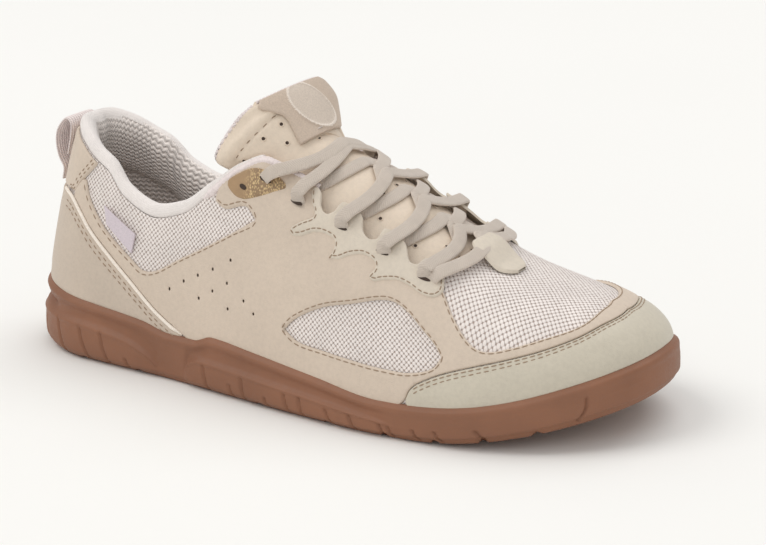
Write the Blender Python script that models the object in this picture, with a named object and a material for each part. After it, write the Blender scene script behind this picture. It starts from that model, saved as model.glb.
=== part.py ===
"""Low shoe with a flat foot-shaped sole, right foot, as separate solids.

+X points to the toe, +Y to the medial side, +Z up, in metres.
Every curved piece is measured from one surface, the outside of the upper.
A place on it is (station, height): the station runs 0 to 1 round one side from
the middle of the heel to the tip of the toe, and the height runs 0 to 1 up the
rib there, from the feather line to the ridge.  A depth moves it inward.
"""
import bpy
import bmesh
import numpy as np
from mathutils import Vector
from mathutils.geometry import delaunay_2d_cdt

MM = 0.001
SOLE_LENGTH = 292 * MM
BALL_WIDTH = 106 * MM
INSTEP_HEIGHT = 100 * MM
LIP_HEIGHT = 31 * MM
HEEL_LEAN = 26 * MM
HEEL_ROUND = 38 * MM
TOE_ROUND_LATERAL = 62 * MM
TOE_ROUND_MEDIAL = 50 * MM
CAP_POWER = 2.2
TOE_SWING = 8 * MM
TOE_SPRING = 18 * MM
SPRING_START = 0.70
HEEL_BEVEL = 3 * MM
BEVEL_LENGTH = 30 * MM
FLOOR_THICKNESS = 9 * MM
TREAD_INSET = 4 * MM
BEVEL_INSET = 1.2 * MM
BEVEL_RISE = 2 * MM
PAD_WAIST = 6 * MM
PAD_EDGE = 0.7 * MM
PAD_BULGE = 1 * MM
PAD_UNDERCUT = 0.2 * MM
LIP_BAND = 3 * MM
LIP_ROLL = 0.8 * MM
LIP_SLOPE = 0.3 * MM
GAP = 0.3 * MM
PANEL_GAP = 0.45 * MM
WALL = 2.4 * MM
UPPER_INSET = 3.2 * MM
LIP_THICKNESS = 2.2 * MM
OVERLAY = 1.2 * MM
PATCH = 0.8 * MM
PANEL_STEP = 13 * MM
EYESTAY_STEP = 9 * MM
PANEL_MARGIN = 0.4 * MM
HOLE_MARGIN = 0.1 * MM
INSOLE_THICKNESS = 4 * MM
INSOLE_INSET = 0.5 * MM
INSOLE_DISH = 0.6 * MM
COLLAR_UNIT = 1 * MM
COLLAR_FACE = WALL + 0.5 * MM
COLLAR_START = 0.33
COLLAR_END = 0.43
COLLAR_THIN = 0.12
LIP_CLEARANCE = 0.9 * MM
TONGUE_CLEARANCE = 1.2 * MM
TONGUE_THICKNESS = 3 * MM
TONGUE_PADDING = 4 * MM
TONGUE_TIP = 2 * MM
TONGUE_LOW_EDGE = 0.72
TONGUE_TUCK = 0.06
LABEL_CLEARANCE = 0.5 * MM
LABEL_THICKNESS = 1.2 * MM
LACE_WIDTH = 5.6 * MM
LACE_THICKNESS = 1.4 * MM
LACE_CLEARANCE = 1.1 * MM
LOOP_WIDTH = 18 * MM
LOOP_THICKNESS = 1.2 * MM
LOOP_UNIT = 1 * MM
KEEPER_WIDTH = 19 * MM
KEEPER_START = 0.722
KEEPER_END = 0.794
KEEPER_THICKNESS = 1.3 * MM
KEEPER_SHIFT = 1.5 * MM
GROOVE_DEPTH = 2.2 * MM
GROOVE_WIDTH = 2.6 * MM
SIDE_GIRTH = 340 * MM
RIB_GIRTH = 100 * MM
HEEL_POLE = 0.13
TOE_POLE = 0.82
LEAN_START = 0.14
LATERAL = -1
MEDIAL = 1

# station along the length, lateral and medial half widths in ball widths
SOLE_OUTLINE = (
    (0.00, 0.311, 0.311),
    (0.13, 0.350, 0.340),
    (0.28, 0.380, 0.315),
    (0.42, 0.430, 0.305),
    (0.55, 0.475, 0.370),
    (0.66, 0.506, 0.465),
    (0.75, 0.508, 0.495),
    (0.85, 0.475, 0.476),
    (0.93, 0.438, 0.457),
    (1.00, 0.415, 0.438),
)
# station along the length, height of the ridge in instep heights
RIDGE = (
    (0.00, 1.620),
    (0.10, 1.560),
    (0.20, 1.460),
    (0.30, 1.330),
    (0.40, 1.180),
    (0.50, 1.020),
    (0.58, 0.905),
    (0.66, 0.775),
    (0.73, 0.660),
    (0.80, 0.575),
    (0.87, 0.530),
    (0.93, 0.505),
    (1.00, 0.460),
)
# station round the side, squareness across and up on the lateral side, the same on
# the medial side, share of the heel lean
RIBS = (
    (0.00, 2.6, 1.7, 2.6, 1.7, 1.00),
    (0.10, 2.6, 1.7, 2.6, 1.7, 0.77),
    (0.20, 2.6, 1.7, 2.6, 1.7, 0.46),
    (0.32, 2.4, 1.6, 2.9, 1.7, 0.19),
    (0.45, 2.3, 1.5, 3.8, 1.8, 0.00),
    (0.58, 2.3, 1.5, 3.4, 1.8, 0.00),
    (0.70, 2.4, 1.7, 2.6, 1.8, 0.00),
    (0.85, 2.8, 2.2, 2.8, 2.2, 0.00),
    (1.00, 3.2, 3.0, 3.2, 3.0, 0.00),
)
# station round the side, height of the collar and throat edge
EDGE = (
    (0.000, 0.535),
    (0.060, 0.535),
    (0.110, 0.520),
    (0.150, 0.500),
    (0.180, 0.485),
    (0.215, 0.435),
    (0.260, 0.415),
    (0.310, 0.460),
    (0.360, 0.580),
    (0.400, 0.690),
    (0.440, 0.760),
    (0.500, 0.765),
    (0.572, 0.735),
    (0.640, 0.695),
    (0.696, 0.645),
    (0.720, 0.635),
    (0.745, 0.665),
    (0.775, 0.750),
    (0.798, 0.880),
    (0.810, 1.000),
    (1.000, 1.000),
)
THROAT_END = 0.81
# station round the side, lateral and medial heights of the sole's lip in lip heights
LIP = (
    (0.00, 1.000, 1.000),
    (0.07, 0.952, 0.952),
    (0.17, 0.855, 0.855),
    (0.26, 0.758, 0.790),
    (0.31, 0.661, 0.742),
    (0.35, 0.661, 0.774),
    (0.38, 0.758, 0.839),
    (0.45, 0.694, 0.806),
    (0.55, 0.581, 0.645),
    (0.64, 0.468, 0.516),
    (0.75, 0.468, 0.484),
    (0.88, 0.500, 0.500),
    (1.00, 0.516, 0.516),
)
# station round the side, top of the side pads in lip heights, how far out in pad bulges
PADS = (
    (0.00, 0.60, 1.0),
    (0.12, 0.60, 1.2),
    (0.22, 0.50, 1.2),
    (0.30, 0.30, 0.8),
    (0.34, 0.26, 0.2),
    (0.37, 0.40, 1.0),
    (0.45, 0.42, 1.2),
    (0.60, 0.32, 1.0),
    (0.70, 0.26, 0.4),
    (0.80, 0.24, 0.4),
    (0.92, 0.30, 0.8),
    (1.00, 0.34, 0.8),
)
# station round the side, height of the toe cap's seam
TOE_SEAM = (
    (0.672, 0.075),
    (0.679, 0.120),
    (0.700, 0.165),
    (0.725, 0.200),
    (0.760, 0.232),
    (0.795, 0.257),
    (0.845, 0.292),
    (0.890, 0.333),
    (0.939, 0.388),
    (1.000, 0.420),
)
# station round the side, height of the counter's top and its diagonal seam
COUNTER_SEAM = (
    (0.000, 0.375),
    (0.080, 0.378),
    (0.111, 0.372),
    (0.144, 0.341),
    (0.167, 0.305),
    (0.205, 0.254),
    (0.242, 0.203),
    (0.281, 0.143),
    (0.330, 0.086),
)
# quarter's front edge, along the vamp mesh and the scalloped eyestay seam
VAMP_EDGE = (
    (0.995, 0.520),
    (0.954, 0.490),
    (0.900, 0.400),
    (0.848, 0.352),
    (0.810, 0.318),
    (0.778, 0.300),
    (0.764, 0.315),
    (0.752, 0.360),
    (0.741, 0.430),
    (0.736, 0.470),
    (0.728, 0.545),
)
SCALLOP = (
    (0.722, 0.560),
    (0.693, 0.500),
    (0.664, 0.530),
    (0.640, 0.525),
    (0.617, 0.492),
    (0.630, 0.550),
    (0.611, 0.582),
    (0.583, 0.560),
    (0.556, 0.524),
    (0.567, 0.596),
    (0.540, 0.606),
    (0.492, 0.557),
    (0.523, 0.655),
    (0.516, 0.710),
)
# the collar's mesh field, from its front tip back to the counter
MESH_FIELD = (
    (0.366, 0.553),
    (0.383, 0.543),
    (0.419, 0.582),
    (0.436, 0.552),
    (0.400, 0.475),
    (0.359, 0.398),
    (0.318, 0.328),
    (0.277, 0.261),
    (0.258, 0.251),
    (0.240, 0.270),
    (0.184, 0.327),
    (0.150, 0.395),
    (0.128, 0.450),
)
WINDOW = (
    (0.496, 0.223),
    (0.509, 0.265),
    (0.550, 0.338),
    (0.593, 0.383),
    (0.653, 0.441),
    (0.675, 0.418),
    (0.694, 0.366),
    (0.712, 0.310),
    (0.720, 0.262),
    (0.709, 0.216),
    (0.679, 0.182),
    (0.640, 0.175),
    (0.603, 0.178),
    (0.560, 0.184),
    (0.515, 0.194),
)
BROWN_PATCH = (
    (0.383, 0.630),
    (0.396, 0.604),
    (0.410, 0.602),
    (0.430, 0.626),
    (0.457, 0.668),
    (0.474, 0.706),
    (0.466, 0.730),
    (0.437, 0.726),
    (0.419, 0.708),
    (0.401, 0.672),
)
SIDE_TAG = (
    (0.184, 0.372),
    (0.196, 0.388),
    (0.238, 0.345),
    (0.237, 0.288),
    (0.229, 0.292),
)
# lace holes, from the instep forward: station, height, bow of the bar; then the bottom bar
ANCHORS = (
    (0.434, 0.701, 0.075),
    (0.499, 0.700, 0.049),
    (0.572, 0.670, 0.068),
    (0.640, 0.634, 0.075),
    (0.700, 0.600, 0.078),
    (0.708, 0.570, 0.105),
)
# pull loop: height up the heel rib, distance behind it in loop units; back strap, then front
LOOP_LINE = (
    (0.380, 2.3),
    (0.415, 2.9),
    (0.445, 6.6),
    (0.480, 9.2),
    (0.510, 10.1),
    (0.535, 9.0),
    (0.551, 6.6),
    (0.540, 4.6),
    (0.510, 3.5),
    (0.480, 3.2),
    (0.455, 3.15),
)
# top of the tongue: x in sole lengths, y in ball widths, z in instep heights, tilt, radius in
# ball widths, turn, half turns on both sides, half turns the label covers on both sides
TONGUE_TOP = (
    (0.4863, -0.0020, 1.045, 0.95, 0.2170, -0.140, 1.30, 0.70, 0.56, 0.64),
    (0.4726, 0.0075, 1.100, 0.98, 0.2620, -0.175, 1.48, 0.94, 0.47, 0.80),
    (0.4589, 0.0094, 1.154, 1.00, 0.3113, -0.210, 1.45, 0.84, 0.41, 0.74),
    (0.4438, 0.0094, 1.206, 1.03, 0.3113, -0.210, 0.92, 0.77, 0.60, 0.68),
    (0.4356, 0.0094, 1.228, 1.05, 0.3019, -0.210, 0.60, 0.58, 0.55, 0.53),
)
# section of the collar's padding in collar units: depth inward, height above the edge
COLLAR_SECTION = (
    (0.1, 0.3),
    (-0.8, 3.0),
    (0.0, 5.6),
    (2.4, 7.0),
    (5.6, 6.4),
    (8.2, 3.0),
    (8.6, -4.0),
    (6.2, -17.0),
    (2.8, -22.0),
    (2.8, 0.3),
)
# lengthwise grooves of the tread: station along the length, place across in ball widths
LONG_GROOVE = (
    (0.46, 0.10),
    (0.60, 0.13),
    (0.75, 0.17),
    (0.90, 0.17),
    (0.97, 0.12),
)
TOE_GROOVE = (
    (0.72, -0.24),
    (0.82, -0.22),
    (0.93, -0.15),
)
# cross grooves: stations along the length at the lateral, middle and medial ends
CROSS_GROOVES = (
    (0.10, 0.15, 0.10),
    (0.21, 0.26, 0.21),
    (0.47, 0.46, 0.44),
    (0.59, 0.57, 0.55),
    (0.68, 0.67, 0.66),
    (0.755, 0.745, 0.74),
    (0.82, 0.815, 0.81),
    (0.885, 0.88, 0.875),
)


def smooth(table, column, at):
    """Monotone cubic through one column of a table."""
    xs = np.array([row[0] for row in table], float)
    ys = np.array([row[column] for row in table], float)
    at = np.clip(np.asarray(at, float), xs[0], xs[-1])
    span = np.diff(xs)
    rise = np.diff(ys) / span
    slope = np.empty_like(ys)
    slope[0] = rise[0]
    slope[-1] = rise[-1]
    before = 2 * span[1:] + span[:-1]
    after = span[1:] + 2 * span[:-1]
    same = rise[:-1] * rise[1:] > 0
    first = np.where(same, rise[:-1], 1)
    second = np.where(same, rise[1:], 1)
    slope[1:-1] = np.where(same, (before + after) / (before / first + after / second), 0)
    i = np.clip(np.searchsorted(xs, at, side="right") - 1, 0, len(span) - 1)
    t = (at - xs[i]) / span[i]
    start = (2 * t**3 - 3 * t**2 + 1) * ys[i] + (t**3 - 2 * t**2 + t) * span[i] * slope[i]
    end = (3 * t**2 - 2 * t**3) * ys[i + 1] + (t**3 - t**2) * span[i] * slope[i + 1]
    return start + end


def ease(value, low, high):
    """Smooth step from 0 at low to 1 at high."""
    t = np.clip((np.asarray(value, float) - low) / (high - low), 0, 1)
    return t * t * (3 - 2 * t)


def rounded(distance, radius):
    """Width share near an end that is rounded with a radius."""
    inside = np.clip(1 - distance / radius, 0, 1)
    return (1 - inside**CAP_POWER) ** (1 / CAP_POWER)


def spine(x):
    """Side step of the middle line, toward the medial side at the toe."""
    return TOE_SWING * np.clip((x / SOLE_LENGTH - 0.5) / 0.5, 0, 1) ** 1.5


def spring(x):
    """Rise of the sole's bottom above the floor at the toe."""
    share = (x / SOLE_LENGTH - SPRING_START) / (1 - SPRING_START)
    return TOE_SPRING * np.clip(share, 0, 1) ** 1.8


OUTLINES = {}


def half_outline(side, inset):
    """Evenly followed outline of one side, with its outward normals."""
    key = (side, round(inset / MM, 3))
    if key in OUTLINES:
        return OUTLINES[key]
    x = SOLE_LENGTH / 2 * (1 - np.cos(np.linspace(0, np.pi, 600)))
    toe_round = TOE_ROUND_LATERAL if side == LATERAL else TOE_ROUND_MEDIAL
    width = smooth(SOLE_OUTLINE, 1 if side == LATERAL else 2, x / SOLE_LENGTH) * BALL_WIDTH
    reach = rounded(x, HEEL_ROUND) * rounded(SOLE_LENGTH - x, toe_round)
    y = spine(x) + side * width * reach
    along = np.stack([np.gradient(x), np.gradient(y)], 1)
    along[0] = (0, side)
    along[-1] = (0, -side)
    along /= np.linalg.norm(along, axis=1)[:, None]
    normal = side * np.stack([-along[:, 1], along[:, 0]], 1)
    place = np.stack([x, y], 1) - normal * inset
    place[0, 1] = spine(0.0)
    place[-1, 1] = spine(SOLE_LENGTH)
    length = np.concatenate([[0], np.cumsum(np.linalg.norm(np.diff(place, axis=0), axis=1))])
    OUTLINES[key] = (length / length[-1], place, normal)
    return OUTLINES[key]


def outline(side, s, inset=0.0):
    """Plan position at a station, an inset inside the sole's outline."""
    share, place, _ = half_outline(side, inset)
    return np.stack([np.interp(s, share, place[:, 0]), np.interp(s, share, place[:, 1])], -1)


def outline_normal(side, s):
    """Outward plan direction at a station."""
    share, _, normal = half_outline(side, UPPER_INSET)
    out = np.stack([np.interp(s, share, normal[:, 0]), np.interp(s, share, normal[:, 1])], -1)
    return out / np.linalg.norm(out, axis=-1)[..., None]


def rib(side, s, phi, depth=0.0):
    """Point of the upper's surface at an angle up the rib of a station."""
    s, phi, depth = np.broadcast_arrays(np.asarray(s, float), phi, depth)
    base = outline(side, s, UPPER_INSET)
    normal = outline_normal(side, s)
    base = base - normal * depth[..., None]
    middle = (outline(LATERAL, s, UPPER_INSET)[..., 0] + outline(MEDIAL, s, UPPER_INSET)[..., 0]) / 2
    pole = HEEL_POLE * SOLE_LENGTH + (TOE_POLE - HEEL_POLE) * middle
    column = 1 if side == LATERAL else 3
    across = np.maximum(np.cos(phi), 0) ** (2 / smooth(RIBS, column, s))
    up = np.sin(phi) ** (2 / smooth(RIBS, column + 1, s))
    x = pole + (base[..., 0] - pole) * across
    y = spine(pole) + (base[..., 1] - spine(pole)) * across
    floor = FLOOR_THICKNESS + spring(base[..., 0])
    roof = smooth(RIDGE, 1, x / SOLE_LENGTH) * INSTEP_HEIGHT - depth
    z = floor + (roof - floor) * up
    past = np.maximum(up - LEAN_START, 0)
    lean = smooth(RIBS, 5, s) * HEEL_LEAN * past**2 / (past + 0.03)
    return np.stack([x - normal[..., 0] * lean, y - normal[..., 1] * lean, z], -1)


RIB_ANGLES = {}


def rib_angles(side):
    """Angles at even steps of length up every rib."""
    if side not in RIB_ANGLES:
        s = np.linspace(0, 1, 201)
        phi = np.linspace(0, np.pi / 2, 121)
        points = rib(side, s[:, None], phi[None, :])
        step = np.linalg.norm(np.diff(points, axis=1), axis=2)
        length = np.concatenate([np.zeros((len(s), 1)), np.cumsum(step, 1)], 1)
        even = np.linspace(0, 1, 161)
        rows = [np.interp(even, row / row[-1], phi) for row in length]
        RIB_ANGLES[side] = (np.array(rows), length[:, -1])
    return RIB_ANGLES[side]


def upper(side, s, t, depth=0.0):
    """Point of the upper's surface at a station, a height and a depth."""
    s, t = np.broadcast_arrays(np.asarray(s, float), np.asarray(t, float))
    rows, _ = rib_angles(side)
    a = np.clip(s, 0, 1) * (len(rows) - 1)
    i = np.clip(a.astype(int), 0, len(rows) - 2)
    b = np.clip(t, 0, 1) * (rows.shape[1] - 1)
    j = np.clip(b.astype(int), 0, rows.shape[1] - 2)
    a = a - i
    b = b - j
    low = rows[i, j] * (1 - b) + rows[i, j + 1] * b
    high = rows[i + 1, j] * (1 - b) + rows[i + 1, j + 1] * b
    return rib(side, s, low * (1 - a) + high * a, depth)


def upper_normal(side, s, t):
    """Outward direction of the upper's surface."""
    step = 0.004
    s = np.clip(s, step, 1 - step)
    t = np.clip(t, step, 1 - step)
    along = upper(side, s + step, t) - upper(side, s - step, t)
    rise = upper(side, s, t + step) - upper(side, s, t - step)
    normal = np.cross(rise, along) * side
    normal *= np.sign(np.sum(normal * upper_side(side, normal), axis=-1))[..., None]
    return normal / np.linalg.norm(normal, axis=-1)[..., None]


def upper_side(side, like):
    """Rough outward direction: up and to the side."""
    return np.broadcast_to(np.array([0.0, side * 0.5, 1.0]), like.shape)


def rib_length(side, s):
    """Length of the whole rib at a station."""
    length = rib_angles(side)[1]
    return np.interp(s, np.linspace(0, 1, len(length)), length)


def edge(s):
    """Height of the collar and throat edge."""
    return smooth(EDGE, 1, s)


def lip_z(side, s):
    """Level of the top of the sole's lip."""
    column = 1 if side == LATERAL else 2
    return smooth(LIP, column, s) * LIP_HEIGHT + spring(outline(side, s)[..., 0])


def height_at(side, s, z):
    """Height share at which the upper's surface reaches a level."""
    s = np.atleast_1d(np.asarray(s, float))
    t = np.linspace(0, 0.6, 121)
    levels = upper(side, s[:, None], t[None, :])[..., 2]
    z = np.broadcast_to(z, s.shape)
    return np.array([np.interp(level, row, t) for level, row in zip(z, levels)])


def lip_height(side, s, clear=GAP):
    """Height share just above the lip."""
    return height_at(side, s, lip_z(side, s) + clear)


MATERIALS = {}


def material(name, colour, roughness):
    """Plain opaque material."""
    if name not in MATERIALS:
        made = bpy.data.materials.new(name)
        made.use_nodes = True
        shader = made.node_tree.nodes["Principled BSDF"]
        shader.inputs["Base Color"].default_value = (*colour, 1)
        shader.inputs["Roughness"].default_value = roughness
        shader.inputs["Metallic"].default_value = 0
        MATERIALS[name] = made
    return MATERIALS[name]


def solid(name, faces, look):
    """Closed mesh object from faces given as lists of points, welded."""
    places = {}
    corners = []
    indexed = []
    for face in faces:
        loop = []
        for point in face:
            key = tuple(int(round(value / (0.002 * MM))) for value in point)
            if key not in places:
                places[key] = len(corners)
                corners.append([float(value) for value in point])
            if places[key] not in loop:
                loop.append(places[key])
        if len(loop) > 2:
            indexed.append(loop)
    mesh = bpy.data.meshes.new(name)
    mesh.from_pydata(corners, [], indexed)
    edit = bmesh.new()
    edit.from_mesh(mesh)
    bmesh.ops.recalc_face_normals(edit, faces=edit.faces)
    edit.to_mesh(mesh)
    edit.free()
    made = bpy.data.objects.new(name, mesh)
    bpy.context.collection.objects.link(made)
    mesh.materials.append(material(*look))
    return made


def strip(first, second):
    """Quads between two rows of points."""
    return [(first[i], first[i + 1], second[i + 1], second[i]) for i in range(len(first) - 1)]


def stations(low=0.0, high=1.0):
    """The stations every piece shares, close together at the heel, throat end and toe."""
    heel = np.linspace(0, 0.12, 7)
    side = np.linspace(0.12, 0.70, 19)[1:]
    throat = np.array([0.72, 0.74, 0.758, 0.775, 0.788, 0.798, 0.805, THROAT_END])
    toe = np.linspace(THROAT_END, 1, 10)[1:]
    every = np.concatenate([heel, side, throat, toe])
    return every[(every > low - 1e-6) & (every < high + 1e-6)]


def spine_points(s, z):
    """Points on the middle line under the stations, at a level above the bottom."""
    middle = (outline(LATERAL, s)[..., 0] + outline(MEDIAL, s)[..., 0]) / 2
    x = HEEL_POLE * SOLE_LENGTH + (TOE_POLE - HEEL_POLE) * middle
    return np.stack([x, spine(x), spring(x) + z], -1)


def toward_spine(ring, centre, share, thickness):
    """Row part of the way from a ring to the middle line, held on the bottom's curve."""
    row = ring + (centre - ring) * share
    row[:, 2] = spring(row[:, 0]) + thickness
    return row


def build_outsole():
    """Cupped sole: flat tread, side pads, a lip round the upper and a floor."""
    s = stations()
    faces = []
    for side in (LATERAL, MEDIAL):
        column = 1 if side == LATERAL else 2
        rise = spring(outline(side, s)[:, 0])
        lip = smooth(LIP, column, s) * LIP_HEIGHT
        pad = smooth(PADS, 1, s) * LIP_HEIGHT
        bulge = smooth(PADS, 2, s) * PAD_BULGE
        bevel = HEEL_BEVEL * np.clip(1 - outline(side, s)[:, 0] / BEVEL_LENGTH, 0, 1) ** 2
        normal = outline_normal(side, s)

        def outer(z, out):
            """Side wall point at a level above the bottom."""
            share = np.clip((z - FLOOR_THICKNESS) / (lip - FLOOR_THICKNESS), 0, 1)
            thick = UPPER_INSET + (LIP_THICKNESS + GAP - UPPER_INSET) * share
            t = height_at(side, s, np.maximum(z, FLOOR_THICKNESS) + rise)
            place = upper(side, s, t, -thick)
            place[:, :2] += normal * np.reshape(out, (-1, 1))
            place[:, 2] = z + rise
            return place

        def ground(inset, z):
            """Point of the sole's edge below its side wall."""
            place = np.zeros((len(s), 3))
            place[:, :2] = outline(side, s, 0.0) - normal * inset
            place[:, 2] = spring(place[:, 0]) + z + bevel
            return place

        bottom = spine_points(s, 0.0)
        tread = ground(TREAD_INSET, 0.0)
        rows = [bottom, toward_spine(tread, bottom, 0.6, 0.0), toward_spine(tread, bottom, 0.25, 0.0)]
        rows.append(tread)
        rows.append(ground(BEVEL_INSET, BEVEL_RISE))
        rows.append(outer(np.minimum(pad * 0.6, PAD_WAIST), bulge))
        rows.append(outer(pad - PAD_EDGE, bulge))
        rows.append(outer(pad + PAD_EDGE, -PAD_UNDERCUT))
        rows.append(outer(lip - LIP_BAND, 0.0))
        rows.append(outer(lip - LIP_ROLL, -PAD_UNDERCUT))
        t = height_at(side, s, lip + rise)
        top = upper(side, s, t, -GAP - LIP_THICKNESS * 0.6)
        top[:, 2] = lip + rise
        rows.append(top)
        inner = upper(side, s, t, -GAP)
        inner[:, 2] = lip - LIP_SLOPE + rise
        rows.append(inner)
        half = height_at(side, s, (lip + FLOOR_THICKNESS) / 2 + rise)
        rows.append(upper(side, s, half, -GAP))
        cup = upper(side, s, 0.0, -GAP)
        cup[:, 2] = spring(cup[:, 0]) + FLOOR_THICKNESS - GAP
        rows.append(cup)
        centre = spine_points(s, FLOOR_THICKNESS - GAP)
        rows.append(toward_spine(cup, centre, 0.45, FLOOR_THICKNESS - GAP))
        rows.append(centre)
        for first, second in zip(rows, rows[1:]):
            faces += strip(first, second)
    return solid("outsole", faces, SOLE_LOOK)


def groove_faces(line):
    """Cutter along a line of plan points, open below and following the bottom."""
    line = np.array(line)
    along = np.gradient(line, axis=0)
    along /= np.linalg.norm(along, axis=1)[:, None]
    across = np.stack([-along[:, 1], along[:, 0]], 1) * GROOVE_WIDTH / 2
    corners = []
    below = -0.7 * GROOVE_DEPTH
    for way, z in ((-1.2, below), (1.2, below), (0.8, GROOVE_DEPTH), (-0.8, GROOVE_DEPTH)):
        plan = line + across * way
        corners.append(np.column_stack([plan, spring(line[:, 0]) + z]))
    faces = []
    for k in range(4):
        faces += strip(corners[k], corners[(k + 1) % 4])
    faces.append([corners[k][0] for k in range(4)])
    faces.append([corners[k][-1] for k in range(4)])
    return faces


def cut(target, name, faces):
    """Take the cutter's solids out of a target."""
    cutter = solid(name, faces, SOLE_LOOK)
    cutter.display_type = "WIRE"
    cutter.hide_render = True
    modifier = target.modifiers.new(name, "BOOLEAN")
    modifier.operation = "DIFFERENCE"
    modifier.solver = "EXACT"
    modifier.object = cutter


def cut_grooves(sole):
    """Lengthwise and cross grooves between the lugs."""
    long_faces = []
    for table in (LONG_GROOVE, TOE_GROOVE):
        x = np.linspace(table[0][0], table[-1][0], 9)
        y = smooth(table, 1, x) * BALL_WIDTH
        line = np.column_stack([x * SOLE_LENGTH, y + spine(x * SOLE_LENGTH)])
        long_faces += groove_faces(line)
    cut(sole, "long_groove_cut", long_faces)
    cross_faces = []
    for low, middle, high in CROSS_GROOVES:
        y = np.linspace(-0.62, 0.62, 7)
        x = middle + np.where(y < 0, low - middle, high - middle) * (y / 0.5) ** 2
        line = np.column_stack([x * SOLE_LENGTH, y * BALL_WIDTH + spine(x * SOLE_LENGTH)])
        cross_faces += groove_faces(line)
    cut(sole, "cross_groove_cut", cross_faces)


def build_insole():
    """Footbed lying on the sole's floor inside the upper's wall."""
    s = stations()
    faces = []
    for side in (LATERAL, MEDIAL):
        low = upper(side, s, 0.0, WALL + GAP)
        low[:, 2] = spring(low[:, 0]) + FLOOR_THICKNESS
        t = height_at(side, s, low[:, 2] + INSOLE_THICKNESS)
        high = upper(side, s, t, WALL + GAP + INSOLE_INSET)
        high[:, 2] = low[:, 2] + INSOLE_THICKNESS + INSOLE_DISH
        under = spine_points(s, FLOOR_THICKNESS)
        over = spine_points(s, FLOOR_THICKNESS + INSOLE_THICKNESS)
        rows = [under, toward_spine(low, under, 0.4, FLOOR_THICKNESS), low, high]
        rows.append(toward_spine(high, over, 0.2, FLOOR_THICKNESS + INSOLE_THICKNESS))
        rows.append(over)
        for first, second in zip(rows, rows[1:]):
            faces += strip(first, second)
    return solid("insole", faces, INSOLE_LOOK)


def build_upper():
    """One hollow wall, open underneath and at the collar and throat."""
    s = stations()
    shares = np.array([0.0, 0.08, 0.20, 0.36, 0.52, 0.68, 0.84, 1.0])
    faces = []
    for side in (LATERAL, MEDIAL):
        out = [upper(side, s, edge(s) * share, 0.0) for share in shares]
        inside = [upper(side, s, edge(s) * share, WALL) for share in shares]
        for rows in (out, inside):
            for first, second in zip(rows, rows[1:]):
                faces += strip(first, second)
        faces += strip(out[0], inside[0])
        open_part = int(np.sum(s < THROAT_END - 1e-6)) + 1
        faces += strip(out[-1][:open_part], inside[-1][:open_part])
    return solid("upper", faces, MESH_LOOK)


def build_collar():
    """Padding rolled over the edge of the collar and down inside it."""
    s = stations(0, COLLAR_END)
    full = ease(s, COLLAR_END, COLLAR_START)
    faces = []
    caps = []
    for side in (LATERAL, MEDIAL):
        rows = []
        for depth, along in COLLAR_SECTION:
            deep = depth * COLLAR_UNIT
            if deep > COLLAR_FACE:
                deep = COLLAR_FACE + (deep - COLLAR_FACE) * (COLLAR_THIN + (1 - COLLAR_THIN) * full)
            far = along * COLLAR_UNIT * (0.5 + 0.5 * full)
            t = edge(s) + far / rib_length(side, s)
            rows.append(upper(side, s, t, deep))
        for k in range(len(rows)):
            faces += strip(rows[k], rows[(k + 1) % len(rows)])
        caps.append([row[-1] for row in rows])
    return solid("collar_padding", faces + caps, COLLAR_LOOK)


def tongue_rows():
    """Rows of the tongue from the vamp to its tip: outer points across it."""
    rows = []
    across = np.linspace(-1, 1, 11)
    inside = WALL + TONGUE_CLEARANCE
    for s in np.linspace(0.865, 0.50, 11):
        row = []
        for b in across:
            side = LATERAL if b < 0 else MEDIAL
            low = min(float(edge(s)), TONGUE_LOW_EDGE) - TONGUE_TUCK
            t = 1 - abs(b) * (1 - low)
            free = ease(t, float(edge(s)) + 0.02, 1.03) * ease(s, 0.79, 0.71)
            row.append(upper(side, s, t, inside - inside * 0.9 * free))
        rows.append(np.array(row).reshape(-1, 3))
    return rows


def tongue_top_row(row, angle):
    """Points and outward directions round the half tube that the tongue's top makes."""
    x, y, z, tilt, radius, turn = row[:6]
    side = np.sin(angle + turn)
    back = np.cos(angle + turn)
    out = np.stack([back * np.sin(tilt), side, back * np.cos(tilt)], -1)
    face = np.array([np.cos(turn) * np.sin(tilt), np.sin(turn), np.cos(turn) * np.cos(tilt)])
    middle = np.array([x * SOLE_LENGTH, y * BALL_WIDTH, z * INSTEP_HEIGHT])
    return middle + (out - face) * radius * BALL_WIDTH, out


def build_tongue():
    """Padded tongue, following the throat and then standing up as a half tube."""
    rows = tongue_rows()
    across = np.linspace(-1, 1, 11)
    for row in TONGUE_TOP:
        angle = across * np.where(across < 0, row[6], row[7])
        rows.append(tongue_top_row(row, angle)[0])
    outer = np.array(rows)
    along = np.gradient(outer, axis=0)
    side = np.gradient(outer, axis=1)
    normal = np.cross(along, side)
    normal /= np.linalg.norm(normal, axis=2)[..., None]
    if normal[3, 5, 2] < 0:
        normal = -normal
    thick = np.full(len(rows), TONGUE_THICKNESS)
    thick[-len(TONGUE_TOP):] = TONGUE_PADDING
    thick[-1] = TONGUE_TIP
    inner = outer - normal * thick[:, None, None]
    faces = []
    for grid in (outer, inner):
        for first, second in zip(grid, grid[1:]):
            faces += strip(first, second)
    faces += strip(outer[0], inner[0])
    faces += strip(outer[-1], inner[-1])
    faces += strip(outer[:, 0], inner[:, 0])
    faces += strip(outer[:, -1], inner[:, -1])
    return solid("tongue", faces, TONGUE_LOOK)


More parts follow.
